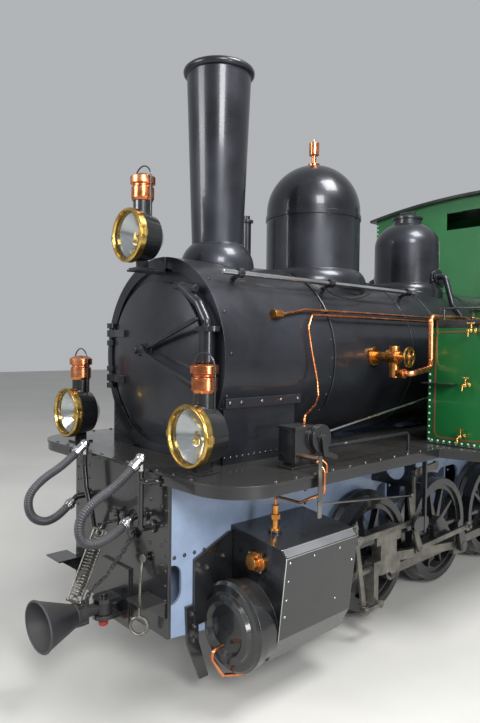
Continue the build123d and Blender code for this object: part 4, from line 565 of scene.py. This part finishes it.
for x, z in screw_places:
    cladding_screws.append((Vector((x, 831.5 - (766 - z) * cladding_lean, z)), Vector((0, 1, -0.12)), 6))
spread("cladding_screws", both_sides(cladding_screws), rivet, "bright_steel")
collars = [lathe([(36, 0), (44, 2), (44, 22), (36, 24)], (2585, 0, coupler_z), ahead),
           lathe([(30.5, 0), (54, 0), (58, 3), (58, 15), (54, 18), (30.5, 18)], (2604, 0, coupler_z), ahead),
           block((2540, -9, 436), (2604, 9, 470)), block((2540, -9, 346), (2604, 9, 380))]
build("coupler_collars", collars, "cast_iron", "coupler_front_body")
mouth_line = [(2799, 141 * math.cos(a), coupler_z + 116 * math.sin(a)) for a in circle(48)]
build("coupler_mouth_ring", [tube(mouth_line, 6, sides=10, closed=True)], "cast_iron", "coupler_front_body")
pin_profile = [(0.5, -26), (21, -24), (25, -18), (25, 0), (0.5, 0)]
build("coupler_pin_end", [lathe(pin_profile, (2455, 0, 338))], "red_paint")
print("plates and bars made")

# %% [markdown]
# ## Spring, chain and hook rod at the coupler
# A coil spring between two thin bars holds the coupler's neck up. A chain hangs from the front plate
# to the neck beside it, with its links as copies on a line, each turned a quarter from the last. A
# rod with a ring hangs from a round knob.

# %%
spring_top, spring_foot = Vector((2462, -20, 800)), Vector((2620, -5, 470))
spring_axis = (spring_foot - spring_top).normalized()
spring_out = spring_axis.orthogonal().normalized()
spring_side = spring_axis.cross(spring_out)
spring_length = (spring_foot - spring_top).length
coils, coil_steps, coil_radius, coil_wire = 19, 14, 22, 4.5
coil_margin, eye_radius = 34, 16
helix = []
for step in range(coils * coil_steps + 1):
    angle = 2 * math.pi * step / coil_steps
    along = coil_margin + (spring_length - 2 * coil_margin) * step / (coils * coil_steps)
    outward = spring_out * math.cos(angle) + spring_side * math.sin(angle)
    helix.append(spring_top + spring_axis * along + outward * coil_radius)
eyes = []
for centre, sign in ((spring_top, 1), (spring_foot, -1)):
    eye = [centre + spring_axis * sign * eye_radius * (1 + math.cos(a)) + spring_side * eye_radius * math.sin(a)
           for a in circle(24)]
    eyes.append(tube(eye, coil_wire, sides=8, closed=True))
bar_foot = spring_foot - spring_axis * 8
side_bars = [tube([spring_top + spring_side * offset, bar_foot + spring_side * offset], 5, sides=8)
             for offset in (33, -33)]
cross_bars = [tube([end - spring_side * 40, end + spring_side * 40], 6.5, sides=10) for end in (spring_top, bar_foot)]
build("support_spring", [tube(helix, coil_wire, sides=8)] + eyes, "motion_steel", "coupler_front_body")
build("spring_bars", side_bars + cross_bars, "motion_steel", "coupler_front_body")
plate_face_x = 2375.3
hook_line = [(2376, -20, 830), (2420, -20, 832), (2452, -20, 824), (2468, -20, 806), (2462, -20, 788)]
stud_profile = [(11, 0), (11, 18), (20, 20), (22, 34), (14, 42)]
hook_shapes = [tube(hook_line, 8, sides=10),
               prism([(-60, 790), (20, 790), (20, 870), (-60, 870)], "x", plate_face_x, 2387)]
hook_shapes += [lathe(stud_profile, (plate_face_x, y, 890), ahead, 16) for y in (29, 100)]
build("front_hooks", hook_shapes, "black_paint")

chain_line = [Vector(point) * MM for point in (
    (2392, 165, 805), (2412, 142, 740), (2450, 77, 633), (2500, 82, 590),
    (2580, 111, 569), (2600, 60, 480), (2604, 34, 452))]
link_width, link_straight, link_wire, link_pitch = 0.42, 0.45, 0.2, 0.026
link_line = []
for a in circle(20):
    end = link_straight if math.sin(a) > 0 else -link_straight
    link_line.append(Vector((link_width * math.cos(a), 0, link_width * math.sin(a) + end)))
chain_link = pattern_object("link_pattern", [tube(link_line, link_wire, sides=8, closed=True)])
chain_spots, _ = even_points(chain_line, link_pitch)
link_places = []
for index, (first, second) in enumerate(zip(chain_spots, chain_spots[1:])):
    along = (second - first).normalized()
    quarter = Matrix.Rotation(math.pi / 2 * (index % 2), 3, "Z").to_quaternion()
    link_places.append(((first + second) / 2 / MM, along.to_track_quat("Z", "Y") @ quarter, 20))
chain = spread("coupler_chain", link_places, chain_link, "cast_iron", body=None)
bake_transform(chain)
knob_profile = [(12, 0), (12, 14), (24, 16), (26, 26), (18, 34), (3, 36)]
build("chain_knob", [lathe(knob_profile, (plate_face_x, 165, 812), ahead, 18)], "black_paint")
# The ring faces the camera, so its width runs along a heading of its own
hung_radius, hung_x, hung_y = 42, -0.73, 0.68
ring_line = [(2440 + hung_radius * math.sin(a) * hung_x, 305 + hung_radius * math.sin(a) * hung_y,
              411 + hung_radius * math.cos(a)) for a in circle(40)]
hang_shapes = [tube(ring_line, 8, sides=10, closed=True),
               tube([(2404, 276, 712), (2424, 290, 600), (2440, 305, 452)], 7, sides=8),
               lathe([(10, 0), (10, 12), (22, 14), (24, 26), (16, 34), (2, 36)], (plate_face_x, 276, 719), ahead, 18)]
build("hanging_ring", hang_shapes, "motion_steel")
print("chain links:", len(link_places))

# %% [markdown]
# ## Green tanks and cab
# The tanks' front faces carry a row of pale rivets along the inner and the lower edge, a black strip
# at the top, a red-brown lining with round corners, and three try cocks. The same lining goes round
# the panels of the sides, the cab and its doors.

# %%
tank_face_x, tank_side_y, cab_face_x = 640.3, 1150, -1540
lining_lift = 0.3
corner_steps = 6


def lining(origin, across, upward, width, height, corner, line=9, proud=1.2):
    """A thin raised frame: origin is the panel's middle, across and upward are unit vectors."""
    origin, across, upward = Vector(origin), Vector(across), Vector(upward)
    outward = across.cross(upward)
    loops = []
    for inset in (0, line):
        for lift in (0, proud):
            loop = []
            radius = corner - inset
            for quarter, (sx, sy) in enumerate(((1, 1), (-1, 1), (-1, -1), (1, -1))):
                for step in range(corner_steps + 1):
                    angle = math.pi / 2 * (quarter + step / corner_steps)
                    aside = sx * (width / 2 - corner) + radius * math.cos(angle)
                    above = sy * (height / 2 - corner) + radius * math.sin(angle)
                    loop.append(origin + across * aside + upward * above + outward * lift)
            loops.append(loop)
    low_out, high_out, low_in, high_in = loops
    points = low_out + high_out + high_in + low_in
    count = len(low_out)
    faces = []
    for belt in range(4):
        other = (belt + 1) % 4
        for step in range(count):
            after = (step + 1) % count
            faces.append((belt * count + step, belt * count + after,
                          other * count + after, other * count + step))
    return points, faces


panels = []
side_panels = (
    # middle's x and z, width, height, corner
    (-450, 1522, 2080, 650, 46),  # tank
    (-1620, 2080, 90, 1760, 30),  # cab, ahead of the door
    (-2262, 2080, 170, 1760, 46),  # cab, behind the door
)
for side in (1, -1):
    panels.append(lining((tank_face_x, side * 953.5, 1522), leftward, upright, 309, 650, 46))
    panels.append(lining((cab_face_x + lining_lift, side * 773, 2664), leftward, upright, 470, 580, 60))
    for x, z, width, height, corner in side_panels:
        middle = (x, side * (tank_side_y + lining_lift), z)
        panels.append(lining(middle, (-side, 0, 0), upright, width, height, corner))
panels.append(lining((-2400.3, 0, 1800), (0, -1, 0), upright, 2180, 1160, 60))
build("lining", panels, "lining_red")
for name, side in (("left", 1), ("right", -1)):
    panel = lining((-1920, side * 1149.3, 1547), (-side, 0, 0), upright, 360, 620, 40)
    build(f"door_lining_{name}", [panel], "lining_red", f"cab_door_{name}_body")
strips = []
strip_foot, strip_top = 1868, 1915
for side in (1, -1):
    strips.append(side_block(tank_face_x, 643, 757, tank_side_y, strip_foot, strip_top, side))
    strips.append(side_block(cab_face_x, 640, tank_side_y + lining_lift, 1153, strip_foot, strip_top, side))
    strips.append(side_block(tank_face_x, 676, 757, 1146, 1164.3, 1172, side))
build("tank_strips", strips, "black_paint")
pale_size = 7
tank_rows = (
    # tank's front: inner edge, foot, outer edge
    ((tank_face_x, 769, 1184), (tank_face_x, 769, 1862), 18, ahead, pale_size),
    ((tank_face_x, 790, 1180), (tank_face_x, 1138, 1180), 10, ahead, pale_size),
    ((tank_face_x, 1138, 1220), (tank_face_x, 1138, 1862), 17, ahead, pale_size),
    # tank's side: foot, top, front, rear
    ((-1520, tank_side_y, 1180), (628, tank_side_y, 1180), 54, leftward, pale_size),
    ((-1520, tank_side_y, 1848), (628, tank_side_y, 1848), 54, leftward, pale_size),
    ((628, tank_side_y, 1220), (628, tank_side_y, 1810), 15, leftward, pale_size),
    ((-1520, tank_side_y, 1220), (-1520, tank_side_y, 1810), 15, leftward, pale_size),
    # cab: front's edge, side's front edge, side's rear edge
    ((cab_face_x, 1138, 1960), (cab_face_x, 1138, 3040), 26, ahead, pale_size),
    ((-1560, tank_side_y, 1960), (-1560, tank_side_y, 3040), 26, leftward, pale_size),
    ((-2380, tank_side_y, 1200), (-2380, tank_side_y, 3040), 44, leftward, pale_size),
)
tank_rivets = row_spots(tank_rows)
spread("tank_rivets", both_sides(tank_rivets), rivet, "pale_rivets")
foot_bolts = row_spots([((660, 790, 1172), (660, 1120, 1172), 5, upright, 9)])
spread("tank_foot_bolts", both_sides(foot_bolts), bolt, "black_paint")
cock_profile = [(15, 0), (15, 6), (8, 9), (8, 34), (13, 36), (13, 56), (7, 60), (7, 74), (10, 76), (10, 82)]
cocks = []
for side in (1, -1):
    for y, z in ((1048, 1848), (1019, 1532), (997, 1228)):
        cocks.append(lathe(cock_profile, (640.5, side * y, z), ahead, 16))
        cocks.append(lathe([(5, 0), (5, 26), (9, 28), (9, 36)], (686, side * y, z + 8), upright, 12))
        cocks.append(side_block(678, 694, y - 22, y + 22, z + 40, z + 47, side))
        cocks.append(tube([(712, side * y, z), (722, side * y, z - 6), (724, side * y, z - 34)], 6, sides=10))
build("try_cocks", cocks, "brass")
print("pale rivets:", 2 * len(tank_rivets))

# %% [markdown]
# ## Small fittings
# A burner in each lamp, hinge plates on the rims, oil cups on the rods, the bolted disc on the sand
# dome, the thin wires over the boiler, and bolts on the pipes' flanges.

# %%
lamp_places = (
    # x, y, z, radius of the rim, 1 for a front lamp and -1 for a rear lamp
    (2382, 578, 1342, 145, 1), (2382, -578, 1342, 145, 1), (2337, 0, 2312, 140, 1),
    (-2620, 578, 1342, 145, -1), (-2620, -578, 1342, 145, -1),
)
burner_profile = [(6, -46), (16, -40), (20, -28), (20, -18), (12, -10), (9, 14), (9, 20), (3, 22)]
burners, hinges = [], []
for x, y, z, ring, facing in lamp_places:
    burners.append(lathe(burner_profile, (x - facing * 66, y, z), upright, 18))
    for sign in (1, -1):
        y0, y1 = sorted((y + sign * (ring - 6), y + sign * (ring + 13)))
        x0, x1 = sorted((x - facing * 36, x - facing * 8))
        hinges.append(block((x0, y0, z - 15), (x1, y1, z + 15)))
    hinges.append(lathe([(5, -20), (5, 20)], (x - facing * 22, y + ring + 13, z), upright, 12))
build("lamp_burners", burners, "brass")
build("lamp_hinges", hinges, "brass")
# The crank pins stand a quarter turn apart, given from the axle; a cup stands on each rod end
crank_pins = {"left": (-141.2, -127.1), "right": (-127.1, 141.2)}
axle_xs, axle_z, cup_height = (745, -85, -915), 403, 58
cup_profile = [(9, 0), (9, 14), (13, 16), (13, 26), (6, 32)]
for name, side in (("left", 1), ("right", -1)):
    pin_x, pin_z = crank_pins[name]
    cups = [lathe(cup_profile, (x + pin_x, side * 501, axle_z + pin_z + cup_height), upright, 14) for x in axle_xs]
    build(f"rod_oil_cups_{name}", cups, "brass", f"coupling_rod_{name}_body")
disc_profile = [(70, 0), (95, 4), (95, 20), (80, 24), (30, 26), (28, 44), (8, 46)]
discs, disc_bolts = [], []
for side in (1, -1):
    discs.append(lathe(disc_profile, (-330, side * 244, 2262), (0, side, 0), 30))
    disc_bolts += ring_spots((-330, side * 264, 2262), (0, side, 0), 84, 8, 8)
build("sand_dome_discs", discs, "boiler_black")
spread("disc_bolts", disc_bolts, bolt, "boiler_black")
slack_wire = [(1270, 430, 2092), (1180, 441, 2052), (1021, 442, 2036), (900, 438, 2052), (804, 430, 2086)]
# From 20 to 120 degrees off the top, lying on the cladding
wire_radius = 545
lying_wire = [(1288, wire_radius * math.sin(a), boiler_z + wire_radius * math.cos(a))
              for a in [math.radians(20 + 4 * step) for step in range(26)]]
build("boiler_wires", [tube(slack_wire, 4, sides=8), tube(lying_wire, 5, sides=8)], "boiler_black")
flange_bolts = []
for y, z in ((320.5, 880), (405, 1118), (-189, 745)):
    flange_bolts += ring_spots((2387.5, y, z), ahead, 23, 4, 5, start=eighth_turn)
spread("flange_bolts", flange_bolts, bolt, "motion_steel")
print("small fittings made")

# %% [markdown]
# ## Studio
# A pale floor runs under the engine. Four large soft lamps light it, the strongest from the camera's
# side, and a pale sky fills the shadows.

# %%
floor_mesh = bpy.data.meshes.new("floor")
reach = 30
corners = [(-reach, -reach, 0), (reach, -reach, 0), (reach, reach, 0), (-reach, reach, 0)]
floor_mesh.from_pydata(corners, [], [(0, 1, 2, 3)])
floor = bpy.data.objects.new("floor", floor_mesh)
bpy.context.scene.collection.objects.link(floor)
floor_paint = finish_material("floor", "B4B3AF", "BEBDB9", rough=(0.55, 0.7), dust=0, wear=0, bump=0.02, scale=0.6)
floor_mesh.materials.append(floor_paint)
lamp_table = (
    # name, position, aim, size, watts
    ("key", (6.0, 8.0, 6.5), (0.5, 0, 1.4), 3.0, 840),
    ("front", (9.0, -2.0, 4.5), (1.5, 0, 1.4), 3.0, 380),
    ("top", (0.5, 3.2, 7.0), (0.3, 0, 1.8), 2.4, 520),
    ("left strip", (2.5, 7.0, 2.0), (0.8, 0, 0.8), 1.6, 160),
)
for name, at, aim, size, watts in lamp_table:
    light = bpy.data.lights.new(name, "AREA")
    light.size = size
    light.energy = watts
    holder = bpy.data.objects.new(name, light)
    bpy.context.scene.collection.objects.link(holder)
    holder.location = at
    holder.rotation_euler = (Vector(aim) - Vector(at)).to_track_quat("-Z", "Y").to_euler()
world = bpy.data.worlds.new("world")
bpy.context.scene.world = world
world.use_nodes = True
sky = world.node_tree.nodes["Background"]
sky.inputs["Color"].default_value = colour("DFE2E6")
sky.inputs["Strength"].default_value = 0.6
bpy.context.scene.view_settings.view_transform = "Standard"
print("lights:", len(lamp_table))

# %% [markdown]
# ## Finish
# The patterns have served, so they go.

# %%
for made in (rivet, bolt, chain_link):
    bpy.data.objects.remove(made)
